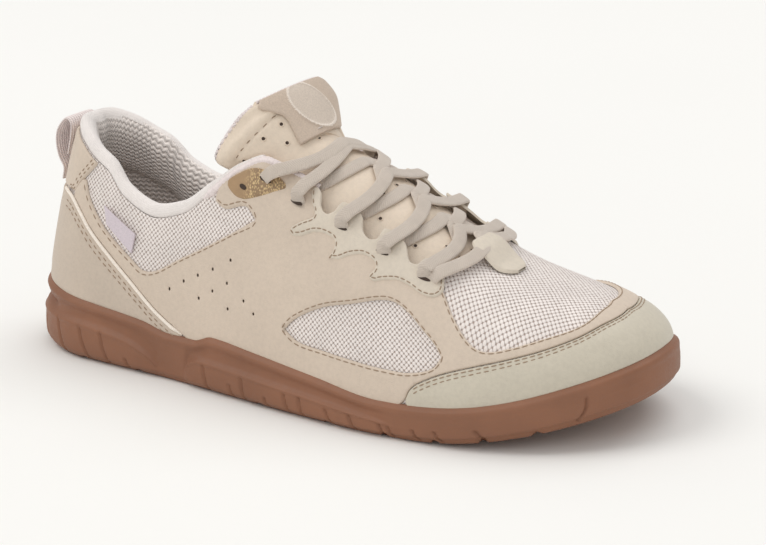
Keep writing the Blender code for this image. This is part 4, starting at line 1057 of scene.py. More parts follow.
def ribbon(parts, path, up, width, thickness, columns=9, edge_round=0.5):
    """Flat strap with soft edges along a path; up is the outward direction at each point."""
    across, top = cross_ways(path, up)
    turn = np.linspace(0, 2 * np.pi, 2 * columns, endpoint=False)
    x = np.sign(np.cos(turn)) * np.abs(np.cos(turn)) ** edge_round * width / 2
    z = np.sign(np.sin(turn)) * np.abs(np.sin(turn)) ** 0.8 * thickness / 2
    points = path[:, None] + across[:, None] * x[:, None] + top[:, None] * z[:, None]
    parts.grid(points, np.stack(np.broadcast_arrays(travel(path)[:, None], x[None, :]), -1), closed=True)
    for end in (0, -1):
        parts.add(points[end], [list(range(2 * columns))])


# camera, light and floor

def build_camera():
    """Camera at the photo's angle to the shoe, with the photo's framing."""
    a = math.radians(AZIMUTH)
    e = math.radians(ELEVATION)
    back = Vector((math.sin(a) * math.cos(e), -math.cos(a) * math.cos(e), math.sin(e)))
    right = Vector((math.cos(a), math.sin(a), 0))
    up = back.cross(right)
    turn = Matrix.Rotation(-math.radians(ROLL), 3, back)
    right = turn @ right
    up = turn @ up
    data = bpy.data.cameras.new("camera")
    data.sensor_width = SENSOR
    data.lens = PIXELS_PER_MM / MM * DISTANCE / PICTURE[0] * SENSOR
    data.shift_x = (PICTURE[0] / 2 - TARGET_PIXEL[0]) / PICTURE[0]
    data.shift_y = (TARGET_PIXEL[1] - PICTURE[1] / 2) / PICTURE[0]
    camera = bpy.data.objects.new("camera", data)
    axes = Matrix((right, up, back)).transposed().to_4x4()
    camera.matrix_world = Matrix.Translation(TARGET + back * DISTANCE) @ axes
    bpy.context.scene.collection.objects.link(camera)
    bpy.context.scene.camera = camera


def soft_sun(name, place, strength, spread, colour=(1, 1, 1)):
    """Even soft light from a direction."""
    data = bpy.data.lights.new(name, "SUN")
    data.energy = strength
    data.angle = math.radians(spread)
    data.color = colour
    light = bpy.data.objects.new(name, data)
    light.location = place
    light.rotation_mode = "QUATERNION"
    light.rotation_quaternion = (Vector(place) - TARGET).to_track_quat("Z", "Y")
    bpy.context.scene.collection.objects.link(light)


def build_stage():
    """Pale floor and backdrop, soft studio light."""
    reach = 6.0
    mesh = bpy.data.meshes.new("floor")
    corners = [(-reach, -reach, 0), (reach, -reach, 0), (reach, reach, 0), (-reach, reach, 0)]
    mesh.from_pydata(corners, [], [(0, 1, 2, 3)])
    look = Look("floor_paint", tint(242, 242, 240), 0.9)
    look.paint(look.ramp(look.noise(0.5, 2), (0.3, tint(241, 241, 239)), (0.7, tint(243, 243, 241))))
    mesh.materials.append(look.made)
    floor = bpy.data.objects.new("floor", mesh)
    bpy.context.scene.collection.objects.link(floor)
    world = bpy.data.worlds.new("studio")
    world.use_nodes = True
    background = world.node_tree.nodes["Background"].inputs
    background["Color"].default_value = (1.0, 0.985, 0.965, 1)
    background["Strength"].default_value = 0.58
    bpy.context.scene.world = world
    bpy.context.scene.view_settings.view_transform = "Standard"
    soft_sun("key", (-0.75, -0.55, 1.3), 0.85, 35, (1.0, 0.98, 0.95))
    soft_sun("top", (0.2, 0.6, 1.4), 0.80, 50)
    soft_sun("front", (0.45, -0.95, 0.95), 0.30, 40)


build_camera()
build_stage()


# sole

def tread_relief(x, y):
    """Rise of the tread above its lugs: grooves, rings with a dot, and short sipes."""
    u = x / SOLE_LENGTH
    v = (y - spine(x)) / BALL_WIDTH
    rise = 0.0 * x
    half = GROOVE_WIDTH / 2
    for table in (LONG_GROOVE, TOE_GROOVE):
        off = np.abs(v - smooth(table, 1, u)) * BALL_WIDTH
        inside = (u > table[0][0]) & (u < table[-1][0])
        rise = np.maximum(rise, np.where(inside, GROOVE_DEPTH * (1 - ease(off, half * 0.7, half * 1.5)), 0))
    for low, middle, high in CROSS_GROOVES:
        at = middle + np.where(v < 0, low - middle, high - middle) * (v / 0.5) ** 2
        off = np.abs(u - at) * SOLE_LENGTH
        rise = np.maximum(rise, GROOVE_DEPTH * (1 - ease(off, half * 0.7, half * 1.5)))
    for first, second in zip(CROSS_GROOVES, CROSS_GROOVES[1:]):
        for k, lane in enumerate(LUG_LANES):
            a = (first[k] + second[k]) / 2
            if second[1] - first[1] > 0.15 and k != 1:
                continue
            du = (u - a) * SOLE_LENGTH
            dv = (v - lane) * BALL_WIDTH
            reach = np.hypot(du, dv)
            ring = 0.7 * MM * bell(reach - LUG_RING_RADIUS, 0.55 * MM)
            ring = ring + 0.9 * MM * (1 - ease(reach, 0.8 * MM, 1.4 * MM))
            sipe = 1.1 * MM * bell(du, 0.5 * MM) * ease(np.abs(dv), 5.2 * MM, 6.0 * MM)
            sipe = sipe * (1 - ease(np.abs(dv), 10.5 * MM, 11.5 * MM))
            rise = np.maximum(rise, np.maximum(ring, sipe))
    return rise


def side_relief(s, z, lip, pad):
    """How far the sole's side wall stands out: pads, slits, heel slot and rolled lip."""
    proud = smooth(PADS, 2, s) * MM
    share = z / pad
    out = proud * (1 - ease(share, 0.90, 1.06)) * (0.70 + 0.30 * np.sin(np.pi * np.clip(share, 0, 1)))
    out += 0.55 * MM * bell(share - 0.90, 0.06) * (proud > 0.5 * MM)
    out -= 0.90 * MM * bell((z - pad) / (lip - pad + 1e-6) - 0.30, 0.30) * ease(proud, 0, 1 * MM)
    out += 0.45 * MM * bell(lip - 2.2 * MM - z, 1.6 * MM)
    for at, lean, reach in SLITS:
        drop = np.clip(1 - share, 0, 1)
        line = at + lean * drop**1.6
        cut_depth = 1.25 * MM * bell((s - line) * SIDE_GIRTH, 0.55 * MM)
        out -= cut_depth * (1 - ease(share, reach * 0.80, reach * 0.98)) * ease(z, -1 * MM, 2.0 * MM)
    slot_z = 0.735 * lip
    slot = bell(z - slot_z, 1.15 * MM) * (1 - ease(s, 0.090, 0.118))
    bar = bell(z - slot_z + 2.9 * MM, 1.0 * MM) * (1 - ease(s, 0.088, 0.114))
    return out - 2.1 * MM * slot + 0.60 * MM * bar


def build_sole():
    """Cupped sole in full detail: tread, bevels, side wall, lip and the ledge inside it."""
    s = 0.5 - 0.5 * np.cos(np.linspace(0, np.pi, 521))
    s = 0.35 * s + 0.65 * np.linspace(0, 1, 521)
    parts = Parts()
    for side in (LATERAL, MEDIAL):
        rise = spring(outline(side, s)[:, 0])
        lip = smooth(LIP, 1 if side == LATERAL else 2, s) * LIP_HEIGHT
        pad = smooth(PADS, 1, s) * LIP_HEIGHT
        bevel = HEEL_BEVEL * np.clip(1 - outline(side, s)[:, 0] / BEVEL_LENGTH, 0, 1) ** 2
        normal = outline_normal(side, s)
        middle = (outline(LATERAL, s)[:, 0] + outline(MEDIAL, s)[:, 0]) / 2
        x = HEEL_POLE * SOLE_LENGTH + (TOE_POLE - HEEL_POLE) * middle
        centre = np.stack([x, spine(x)], -1)
        rim = outline(side, s, 0.0) - normal * 4.0 * MM
        rows = []
        for share in np.linspace(0, 1, 46):
            plan = centre + (rim - centre) * share
            z = spring(plan[:, 0]) + tread_relief(plan[:, 0], plan[:, 1]) + bevel * ease(share, 0.6, 1.0)
            rows.append(np.column_stack([plan, z]))
        for inset, z in ((3.0, 0.05), (2.2, 0.45), (1.5, 1.1)):
            plan = outline(side, s, 0.0) - normal * inset * MM
            rise_here = np.maximum(z * MM, 0.9 * tread_relief(plan[:, 0], plan[:, 1]))
            rows.append(np.column_stack([plan, spring(plan[:, 0]) + rise_here + bevel]))
        for share in np.linspace(0, 1, 40):
            low = 2.0 * MM + bevel * 0.8
            z = low + (lip - 0.4 * MM - low) * share
            thick_share = np.clip((z - FLOOR_THICKNESS) / (lip - FLOOR_THICKNESS), 0, 1)
            thick = UPPER_INSET + (LIP_THICKNESS + GAP - UPPER_INSET) * thick_share
            t = height_at(side, s, np.maximum(z, FLOOR_THICKNESS) + rise)
            place = upper(side, s, t, -thick)
            curl = 0.9 * MM * ease(share, 0.93, 1.0)
            tuck = 1.2 * MM * (1 - ease(share, 0.0, 0.12)) ** 2
            out = side_relief(s, z, lip, pad) - curl - tuck
            place[:, :2] += normal * out[:, None]
            place[:, 2] = z + rise
            rows.append(place)
        t = height_at(side, s, lip + rise)
        for thick, level in ((LIP_THICKNESS * 0.62, 0.12), (LIP_THICKNESS * 0.30, 0.20), (0.15 * MM, -0.1),
                             (0.05 * MM, -1.6)):
            place = upper(side, s, t, -thick)
            place[:, 2] = lip + rise + level * MM
            rows.append(place)
        points = np.array(rows)
        run = np.broadcast_to((s * SIDE_GIRTH)[None, :], points.shape[:2])
        level = np.broadcast_to((np.arange(len(rows)) * 0.8 * MM)[:, None], points.shape[:2])
        parts.grid(points, np.stack([run, level], -1), flip=side == MEDIAL)
    parts.made("sole_gum", [GUM], cad=["outsole"], slot="sole_gum")


build_sole()


# upper, collar, insole

def build_body():
    """Wall of the upper: knit outside, lining inside, cut lower along the throat."""
    parts = Parts()
    shares = np.linspace(0, 1, 44)
    for side in (LATERAL, MEDIAL):
        s = np.linspace(0, 1, 280)
        low = height_at(side, s, lip_z(side, s) - 3 * MM)
        top = edge(s) - WALL_CUT * ease(s, 0.524, 0.535) * (1 - ease(s, 0.70, 0.725))
        for depth, kind in ((0.0, 0), (WALL, 1)):
            t = low[None, :] * (kind == 0) + (top[None, :] - low[None, :] * (kind == 0)) * shares[:, None]
            here = np.broadcast_to(s[None, :], t.shape)
            points = upper(side, here, t, depth)
            flat = np.stack([side * here * SIDE_GIRTH, t * rib_length(side, here)], -1)
            flat = np.where((here > 0.724)[..., None], points[..., :2], flat)
            parts.grid(points, flat, flip=(side == MEDIAL) == (kind == 0), kind=kind)
        rim = np.linspace(0, 1, 5)[:, None]
        here = np.broadcast_to(s[None, :], (5, len(s)))
        points = upper(side, here, np.broadcast_to(top[None, :], (5, len(s))), WALL * rim)
        parts.grid(points, flip=side == MEDIAL, kind=0)
    parts.made("upper_knit", [MESH, LINING], cad=["upper"], slot="vamp_mesh")


def build_collar():
    """Rolled padding of the collar: jersey outside and on top, wavy knit inside."""
    parts = Parts()
    s = np.linspace(0, 0.43, 190)
    end = ease(s, 0.43, 0.33)
    section = refine(COLLAR_SECTION, 44, closed=True)
    for side in (LATERAL, MEDIAL):
        rows = []
        flat = []
        for k, (depth, along) in enumerate(section):
            deep = depth * MM
            if depth > 2.9:
                deep = (2.9 + (depth - 2.9) * (0.12 + 0.88 * end)) * MM
            far = along * MM * (0.5 + 0.5 * end)
            t = edge(s) + far / rib_length(side, s)
            soft = 0.25 * MM * np.sin(s * 90 + 2.0 * np.sin(s * 31)) * (depth > 6)
            rows.append(upper(side, s, t, deep + soft))
            flat.append(np.stack([side * s * SIDE_GIRTH, np.full(len(s), k * 1.6 * MM)], -1))
        points = np.array(rows).transpose(1, 0, 2)
        flat = np.array(flat).transpose(1, 0, 2)
        parts.grid(points, flat, closed=True, flip=side == MEDIAL)
        columns = len(section)
        kinds = []
        for station in s[:-1]:
            start = 5.7 - 2.9 * float(ease(station, 0.04, 0.16)) * (side == MEDIAL)
            for k in range(columns):
                depth, along = section[k]
                kinds.append(1 if depth > start or (depth > 2.9 and along < 1.0) else 0)
        parts.which[len(parts.which) - len(kinds):] = kinds
        parts.add(points[-1], [list(range(columns))])
    made = parts.made("collar_roll", [COLLAR, LINING], cad=["collar_padding"], slot="collar_lining")


def build_binding():
    """Soft binding along the front of the collar and the throat's edge."""
    parts = Parts()
    s = np.linspace(0.345, 0.523, 260)
    radius = (2.0 - 0.4 * ease(s, 0.44, 0.52)) * ease(s, 0.335, 0.36) * MM
    angle = np.arange(12) * np.pi / 6
    flat = np.stack(np.broadcast_arrays((s * SIDE_GIRTH)[:, None], (angle * 1.8 * MM)[None, :]), -1)
    for side in (LATERAL, MEDIAL):
        path = upper(side, s, edge(s) + 0.004, 0.7 * MM + 0.22 * MM * np.sin(s * 1250))
        across, top = cross_ways(path, upper_normal(side, s, np.minimum(edge(s), 0.99)))
        ring = across[:, None] * np.cos(angle)[:, None] + top[:, None] * np.sin(angle)[:, None]
        parts.grid(path[:, None] + ring * radius[:, None, None], flat, closed=True, flip=side == MEDIAL)
    parts.made("throat_binding", [BINDING], slot="collar_lining")


build_body()
build_collar()
build_binding()
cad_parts["insole"].data.materials.clear()
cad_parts["insole"].data.materials.append(FOOTBED)


# overlays

SCALE = np.array([SIDE_GIRTH, RIB_GIRTH])


def quarter_half(side):
    """Outline of one quarter, from the counter seam along the sole to the toe, and back above."""
    low = np.linspace(0.338, 0.664, 60)
    below = list(zip(low, height_at(side, low, lip_z(side, low) - OVERLAY_TUCK)))
    seam = np.linspace(0.672, 1.0, 70)
    below += list(zip(seam, smooth(TOE_SEAM, 1, seam) + 0.001))
    above = list(VAMP_EDGE if side == LATERAL else MEDIAL_VAMP_EDGE) + list(UNDER_EYESTAY)
    top = np.linspace(0.522, 0.372, 20)
    above += list(zip(top, edge(top) - EDGE_TUCK))
    above += list(MESH_FIELD)
    above += [(0.136, 0.432), (0.126, 0.408), (0.117, 0.386)]
    seam = np.linspace(0.120, 0.330, 24)
    above += list(zip(seam, smooth(COUNTER_SEAM, 1, seam) + 0.006))
    return np.array(below), np.array(above)


def from_toe(side, places):
    """Flat metres counted from the toe for places of one side."""
    return np.stack([(1 - places[:, 0]) * SIDE_GIRTH * side, places[:, 1] * RIB_GIRTH], -1)


def quarter_ring():
    """Outline of both quarters in one, round the toe."""
    below, above = quarter_half(LATERAL)
    other_below, other_above = quarter_half(MEDIAL)
    ring = np.concatenate([from_toe(LATERAL, below), from_toe(MEDIAL, other_below)[-2::-1],
                           from_toe(MEDIAL, other_above)[::-1], from_toe(LATERAL, above)[1:]])
    return rounded_loop(ring)


def beside(line, by, ring):
    """Flat line moved sideways to the inner side of a ring, only where it lies in it."""
    along = unit(np.gradient(line, axis=0))
    sideways = np.stack([along[:, 1], -along[:, 0]], -1) * by
    moved = line + sideways
    if not inside_loop(moved[len(line) // 3:len(line) // 3 + 1], ring)[0]:
        moved = line - sideways
    return moved[inside_loop(moved, ring)]


STITCHING = Parts()
QUARTER_TOP = GAP + OVERLAY - 0.1 * MM
EYESTAY_LIFT = GAP + 0.75 * OVERLAY


def build_quarters():
    """Both quarters with windows, small holes and stitching, as one skin round the toe."""
    ring = quarter_ring()
    windows = [rounded_loop(from_toe(side, np.array(WINDOW))) for side in (LATERAL, MEDIAL)]
    dots = np.concatenate([from_toe(side, np.array(QUARTER_HOLES)) for side in (LATERAL, MEDIAL)])
    skin("quarters_leather", "toe", ring, BEIGE, GAP, OVERLAY, (1.0 * MM,), holes=windows, dots=dots,
         cad=["quarter_lateral", "quarter_medial"], slot="quarter_leather")
    lift = QUARTER_TOP - 0.05 * MM
    for window in windows:
        for run in seam_runs(window, -1.0 * MM):
            stitches("toe", run, lift)
    for side in (LATERAL, MEDIAL):
        for line in (MESH_FIELD, VAMP_EDGE if side == LATERAL else MEDIAL_VAMP_EDGE):
            line = refine(from_toe(side, np.array(line)), 120)
            stitches("toe", beside(line, 1.0 * MM, ring), lift)


def build_eyestays():
    """Scalloped eyestays with a lobe round every lace hole, and the patches behind them."""
    for side, word in ((LATERAL, "lateral"), (MEDIAL, "medial")):
        ring = refine(np.array(SCALLOP + LOBES) * SCALE, 330, closed=True)
        skin("eyestay_" + word + "_leather", side, ring, PALE, EYESTAY_LIFT, OVERLAY, (1.1 * MM,),
             spacing=1.4 * MM, cad=["eyestay_" + word], slot="eyestay_leather")
        seam = beside(refine(np.array(SCALLOP) * SCALE, 260), 1.1 * MM, ring)
        stitches(side, seam, EYESTAY_LIFT + OVERLAY - 0.12 * MM, size=2.0 * MM, gap=0.9 * MM)
        ring = refine(np.array(BROWN_PATCH) * SCALE, 70, closed=True)
        skin("eyelet_patch_" + word + "_leather", side, ring, GOLD, QUARTER_TOP - 0.1 * MM, PATCH, (),
             spacing=1.0 * MM, rim=0.5 * MM, cad=["eyelet_patch_" + word], slot="patch_leather")


build_quarters()
build_eyestays()


def flat_band(a, high, low):
    """Upper and lower line of a band in flat metres, at signed places along it."""
    return [np.stack([a, high * RIB_GIRTH], -1), np.stack([a, low * RIB_GIRTH], -1)]


def build_toe_cap():
    """Toe cap with its double row of stitches, one skin round the toe."""
    s = np.linspace(0.672, 1.0, 120)
    top = smooth(TOE_SEAM, 1, s) - 0.002
    lateral, medial = [
        flat_band((1 - s) * SIDE_GIRTH * side, top, height_at(side, s, lip_z(side, s) - OVERLAY_TUCK))
        for side in (LATERAL, MEDIAL)]
    seam = np.concatenate([lateral[0], medial[0][-2::-1]])
    ring = np.concatenate([seam, medial[1], lateral[1][-2:0:-1], seam[:1]])
    skin("toe_cap_leather", "toe", even(ring, 620, closed=True), TOE, GAP, OVERLAY, (1.1 * MM, 2.8 * MM),
         dome=0.4 * MM, cad=["toe_cap"], slot="toe_leather")
    for by in (1.1, 2.8):
        line = seam - (0, by * MM)
        line = line[(np.abs(line[:, 0]) < 0.318 * SIDE_GIRTH)]
        stitches("toe", even(line, 400), QUARTER_TOP, size=2.2 * MM)


def heel_ring(lateral, medial, count):
    """Loop round the heel from the bands of both sides."""
    ring = np.concatenate([lateral[0][::-1], medial[0][1:], medial[1][::-1], lateral[1][1:]])
    return even(np.concatenate([ring, ring[:1]]), count, closed=True)


def build_counter():
    """Heel counter, one skin round the heel."""
    s = np.linspace(0, 0.328, 110)
    bands = []
    for side in (LATERAL, MEDIAL):
        low = height_at(side, s, lip_z(side, s) - OVERLAY_TUCK)
        top = np.maximum(smooth(COUNTER_SEAM, 1, s) - 0.002, low + 0.001)
        bands.append(flat_band(s * SIDE_GIRTH * side, top, low))
    skin("heel_counter_leather", "heel", heel_ring(*bands, 560), COUNTER_BEIGE, GAP, OVERLAY,
         (1.7 * MM, 3.2 * MM), cad=["heel_counter"], slot="quarter_leather")


def build_heel_tab():
    """Heel tab above the counter, with a double row of stitches at both ends."""
    s = np.linspace(0, 0.160, 60)
    low = smooth(TAB_SEAM, 1, s) - 0.004
    high = np.maximum(edge(s) - EDGE_TUCK, low + 0.002)
    bands = [flat_band(s * SIDE_GIRTH * side, high, low) for side in (LATERAL, MEDIAL)]
    skin("heel_tab_leather", "heel", heel_ring(*bands, 320), BEIGE, GAP, OVERLAY, (1.2 * MM, 2.8 * MM),
         cad=["heel_tab"], slot="eyestay_leather")
    for side, band in zip((LATERAL, MEDIAL), bands):
        for by in (1.2 * MM, 2.8 * MM):
            line = band[1][40:] + (-side * by * 0.9, by * 0.35)
            stitches("heel", line, QUARTER_TOP, size=1.8 * MM, gap=0.8 * MM)


def build_piping():
    """Diagonal piping over the counter's seam, and the double row of stitches below it."""
    parts = Parts()
    for side in (LATERAL, MEDIAL):
        s = np.linspace(0.088, 0.327, 160)
        depth = -1.35 * MM + 1.6 * MM * ease(s, 0.312, 0.327)
        tube(parts, upper(side, s, smooth(COUNTER_SEAM, 1, s) + 0.001, depth), PIPING_RADIUS, count=10)
        s = np.linspace(0.10, 0.318, 200)
        seam = np.stack([s * SIDE_GIRTH, smooth(COUNTER_SEAM, 1, s) * RIB_GIRTH], -1)
        for by in (2.1, 3.6):
            stitches(side, seam - (0, by * MM), QUARTER_TOP, size=2.2 * MM)
    parts.made("seam_piping", [PIPING], slot="quarter_leather")


build_toe_cap()
build_counter()
build_heel_tab()
build_piping()
STITCHING.made("seam_stitching", [THREAD], slot="quarter_leather")


def build_hole_shade_discs():
    """Dark discs of painted shade on the floors of the small holes."""
    parts = Parts()
    for side in (LATERAL, MEDIAL):
        for place in np.array(QUARTER_HOLES) * SCALE:
            ring = circle(place, HOLE_SHADE_RADIUS, 10)
            parts.add(on_upper(side, ring, GAP + 0.25 * MM), [list(range(10))])
    parts.made("hole_shade_discs", [HOLE_SHADE], slot="quarter_leather")


build_hole_shade_discs()


# tongue and label

def tongue_top_row(row, angle):
    """Points across one row of the tongue's top, and the directions out of it."""
    x, y, z, tilt, radius, turn = row[:6]
    side = np.sin(angle + turn)
    back = np.cos(angle + turn)
    out = np.stack([back * np.sin(tilt), side, back * np.cos(tilt)], -1)
    face = np.array([np.cos(turn) * np.sin(tilt), np.sin(turn), np.cos(turn) * np.cos(tilt)])
    middle = np.array([x * SOLE_LENGTH, y * BALL_WIDTH, z * INSTEP_HEIGHT])
    return middle + (out - face) * radius * BALL_WIDTH, out


def tongue_grid():
    """Outer points of the tongue, rows from the vamp to its tip."""
    rows = []
    across = np.linspace(-1, 1, 11)
    inside = WALL + TONGUE_CLEARANCE
    for s in np.linspace(0.865, 0.50, 11):
        row = []
        for b in across:
            side = LATERAL if b < 0 else MEDIAL
            low = min(float(edge(s)), 0.72) - 0.06
            t = 1 - abs(b) * (1 - low)
            free = ease(t, float(edge(s)) + 0.02, 1.03) * ease(s, 0.79, 0.71)
            row.append(upper(side, s, t, inside - inside * 0.9 * free))
        rows.append(np.array(row).reshape(-1, 3))
    for row, more in zip(TONGUE_TOP, TONGUE_REACH):
        rows.append(tongue_top_row(row, across * np.where(across < 0, row[6] + more, row[7]))[0])
    return np.array(rows)


def dense(grid, rows, columns):
    """Grid of points made finer by smooth curves along both ways."""
    wide = np.array([refine_at(row, np.linspace(0, len(row) - 1, columns)) for row in grid])
    return np.array([refine_at(wide[:, k], np.linspace(0, len(grid) - 1, rows))
                     for k in range(columns)]).transpose(1, 0, 2)


def refine_at(line, at):
    """Smooth curve through points, read at given point numbers."""
    slope = np.gradient(line, axis=0)
    i = np.clip(at.astype(int), 0, len(line) - 2)
    return hermite((at - i)[:, None], line[i], line[i + 1], slope[i], slope[i + 1])


def grid_normals(grid):
    """Directions out of a grid of points, upward on its ridge."""
    normal = unit(np.cross(np.gradient(grid, axis=0), np.gradient(grid, axis=1)))
    return -normal if normal[len(grid) // 5, grid.shape[1] // 2, 2] < 0 else normal


TONGUE_ROWS = 150
TONGUE_COLUMNS = 81
TONGUE_GRID = dense(tongue_grid(), TONGUE_ROWS, TONGUE_COLUMNS)
TONGUE_NORMAL = grid_normals(TONGUE_GRID)
# small holes of the tongue: row share from the vamp to the tip, place across
TONGUE_HOLES = (
    (0.843, -0.32), (0.827, -0.51), (0.767, -0.39), (0.793, -0.79), (0.747, -0.68), (0.680, -0.10),
    (0.680, 0.30), (0.593, -0.11), (0.593, 0.30), (0.523, 0.06), (0.523, 0.42), (0.433, -0.28),
    (0.437, -0.62), (0.433, 0.28), (0.390, -0.01), (0.297, 0.16), (0.330, -0.34), (0.330, -0.64),
    (0.283, -0.07), (0.280, -0.36), (0.227, -0.41), (0.187, -0.49), (0.167, -0.01), (0.153, 0.29),
    (0.123, -0.09),
)


def tongue_cell(row, across):
    """Place in the tongue's grid: whole numbers and the rest."""
    r = row * (TONGUE_ROWS - 1)
    c = (across + 1) / 2 * (TONGUE_COLUMNS - 1)
    i = int(min(r, TONGUE_ROWS - 2))
    j = int(min(c, TONGUE_COLUMNS - 2))
    return i, j, r - i, c - j


def tongue_out(row, across):
    """Way out of the tongue at a row share and a place across."""
    i, j, *_ = tongue_cell(row, across)
    return TONGUE_NORMAL[i, j]


def tongue_point(row, across, lift=0.0):
    """Point on the tongue at a row share and a place across."""
    i, j, r, c = tongue_cell(row, across)
    corner = TONGUE_GRID[i, j]
    point = corner + (TONGUE_GRID[i + 1, j] - corner) * r + (TONGUE_GRID[i, j + 1] - corner) * c
    return point + TONGUE_NORMAL[i, j] * lift


def rim_row(across):
    """Row share of the stitch line along the tongue's padded rim."""
    return TONGUE_RIM_LINE - 0.15 * np.maximum(np.abs(across) - 0.36, 0)


def rim_distance(row, across):
    """Distance in metres beyond the stitch line of the tongue's padded rim."""
    return np.maximum((row - rim_row(across)) * 88 * MM, (np.abs(across) - 0.86) * 30 * MM)


def build_tongue():
    """Padded tongue: smooth face, and a puffed rim beyond a stitch line."""
    row = np.linspace(0, 1, TONGUE_ROWS)[:, None]
    across = np.linspace(-1, 1, TONGUE_COLUMNS)[None, :]
    up_there = ease(row, 0.62, 0.74)
    rim = rim_distance(row, across)
    lift = up_there * (1.0 * MM * bell(rim - 3.2 * MM, 2.4 * MM) - 0.75 * MM * bell(rim, 0.55 * MM))
    lift = lift - 0.9 * MM * up_there * np.maximum(ease(np.abs(across), 0.95, 1.0), ease(row, 0.97, 1.0))
    lift = lift + 0.10 * MM * np.sin(row * 160 + 3 * np.sin(across * 9)) * bell(rim - 1.5 * MM, 1.6 * MM)
    thick = 3.0 * MM + 1.0 * MM * up_there - 2.0 * MM * ease(row, 0.93, 1.0)
    outer = TONGUE_GRID + TONGUE_NORMAL * lift[..., None]
    inner = TONGUE_GRID - TONGUE_NORMAL * thick[..., None]
    flat = np.stack(np.broadcast_arrays(row * TONGUE_LENGTH, across * TONGUE_HALF_WIDTH), -1)
    parts = Parts()
    parts.grid(outer, flat)
    parts.grid(inner, flat, flip=True, kind=1)
    for first, second in rims(outer, inner):
        parts.grid(np.stack([first, (first + second) / 2, second]))
    made = parts.made("tongue_padded", [TONGUE, LINING], cad=["tongue"], slot="tongue_leather")


def build_tongue_trim():
    """Soft uneven trim along both sides and the tip of the tongue."""
    left = [(row, -0.985) for row in np.linspace(0.76, 0.985, 90)]
    right = [(row, 0.97) for row in np.linspace(0.97, 0.76, 60)]
    tip = [(0.995, across) for across in np.linspace(-0.95, 0.97, 90)]
    parts = Parts()
    for line, low, wave in ((left, 0.9, 0.45), (right, 0.9, 0.45), (tip, 0.5, 0.4)):
        path = [tongue_point(*place, (wave * (1 if k % 4 < 2 else -1) - low) * MM)
                for k, place in enumerate(line)]
        tube(parts, np.array(path), TRIM_RADIUS, count=6)
    parts.made("tongue_trim", [BINDING], slot="tongue_leather")


def build_tongue_holes():
    """Small dark holes of the tongue with a soft rim."""
    parts = Parts()
    shape = circle((0, 0), 1.0)
    for row, across in TONGUE_HOLES:
        middle = tongue_point(row, across, 0.06 * MM)
        out = tongue_out(row, across)
        first = unit(np.cross(out, (1.0, 0, 0)))
        disc = shape @ np.array([first, np.cross(out, first)]) * TONGUE_HOLE_RADIUS
        parts.add(middle + disc, [list(range(len(disc)))])
        tube(parts, middle + np.concatenate([disc, disc[:2]]) * 1.15, 0.28 * MM, count=5, kind=1)
    parts.made("tongue_holes", [SHADOW, TONGUE], slot="tongue_leather")


def build_tongue_stitches():
    """Stitches along the seam of the tongue's rim."""
    parts = Parts()
    shape, faces = bead(2.2 * MM, 0.6 * MM, 0.45 * MM)
    line = [(row, -0.86) for row in np.arange(0.700, 0.800, 0.027)]
    line += [(rim_row(across), across) for across in np.arange(-0.80, -0.20, 0.085)]
    for place, following in zip(line, line[1:]):
        here = tongue_point(*place, -0.55 * MM)
        ahead = unit(tongue_point(*following, -0.55 * MM) - here)
        out = tongue_out(*place)
        parts.add(here + shape @ np.array([ahead, np.cross(out, ahead), out]), faces)
    parts.made("tongue_stitching", [THREAD], slot="tongue_leather")


def build_label():
    """Label folded over the tongue's top with a plain raised oval whose ring is painted lighter as a
    painted highlight.
    """
    rows = 90
    columns = 80
    fine = refine_at(np.array(TONGUE_TOP), np.linspace(0, len(TONGUE_TOP) - 1, rows))
    share = np.linspace(0, 1, rows)[:, None]
    b = np.linspace(-1, 1, columns)[None, :]
    pairs = [tongue_top_row(row, np.linspace(-row[8], row[9], columns)) for row in fine]
    points = np.array([pair[0] for pair in pairs])
    out = np.array([pair[1] for pair in pairs])
    face = points + out * 1.7 * MM
    face = face - face[int(OVAL_MIDDLE[0] * rows)][int(OVAL_MIDDLE[1] * columns)]
    across = face @ OVAL_RIGHT
    down = face @ OVAL_DOWN
    long = (OVAL_TURN[0] * across + OVAL_TURN[1] * down) / OVAL_LENGTH
    oval = np.hypot(long, (OVAL_TURN[0] * down - OVAL_TURN[1] * across) / OVAL_WIDTH)
    lift = 1.2 * MM + 0.60 * MM * bell(oval - 0.97, 0.06) + 0.25 * MM * (1 - ease(oval, 0.88, 0.98))
    rim = np.minimum(1 - np.abs(b), 2 * np.minimum(share, 1 - share))
    lift = lift - 0.8 * MM * (1 - np.sqrt(1 - (1 - np.clip(rim / 0.05, 0, 1)) ** 2))
    inner = points + out * 0.5 * MM
    outer = points + out * (0.5 * MM + lift)[..., None]
    parts = Parts()
    parts.shell(outer, inner, np.stack(np.broadcast_arrays(share * 24 * MM, b * 20 * MM), -1))
    inside = oval[:-1, :-1]
    # kind 2 is the oval's raised ring, painted lighter as a painted highlight
    kinds = (inside < 1.02).astype(int) + (np.abs(inside - 0.97) < 0.05)
    parts.which[:kinds.size] = kinds.ravel().tolist()
    parts.made("tongue_label_rubber", [LABEL, BADGE, BADGE_RING_HIGHLIGHT], cad=["tongue_label"], slot="label_rubber")


build_tongue()
build_tongue_trim()
build_tongue_holes()
build_tongue_stitches()
build_label()


# lace, keeper, loop and tag

def bar_station(k, a):
    """Station of a straight lace bar, bowed toward the toe over the ridge."""
    s, t, bow = ANCHORS[k]
    return s + bow * np.sin(np.pi * np.clip((a - t) / (2 - 2 * t), 0, 1))


def tongue_depth(s, t):
    """Depth of the tongue's face below the upper's surface, less than nothing on the eyestay."""
    inside = WALL + TONGUE_CLEARANCE
    top = edge(s)
    free = ease((t - top - 0.02) / (1.01 - top), 0, 1) * ease(-s, -0.79, -0.71)
    return np.where(t < top - 0.015, -(EYESTAY_LIFT + OVERLAY), inside - inside * 0.9 * free)


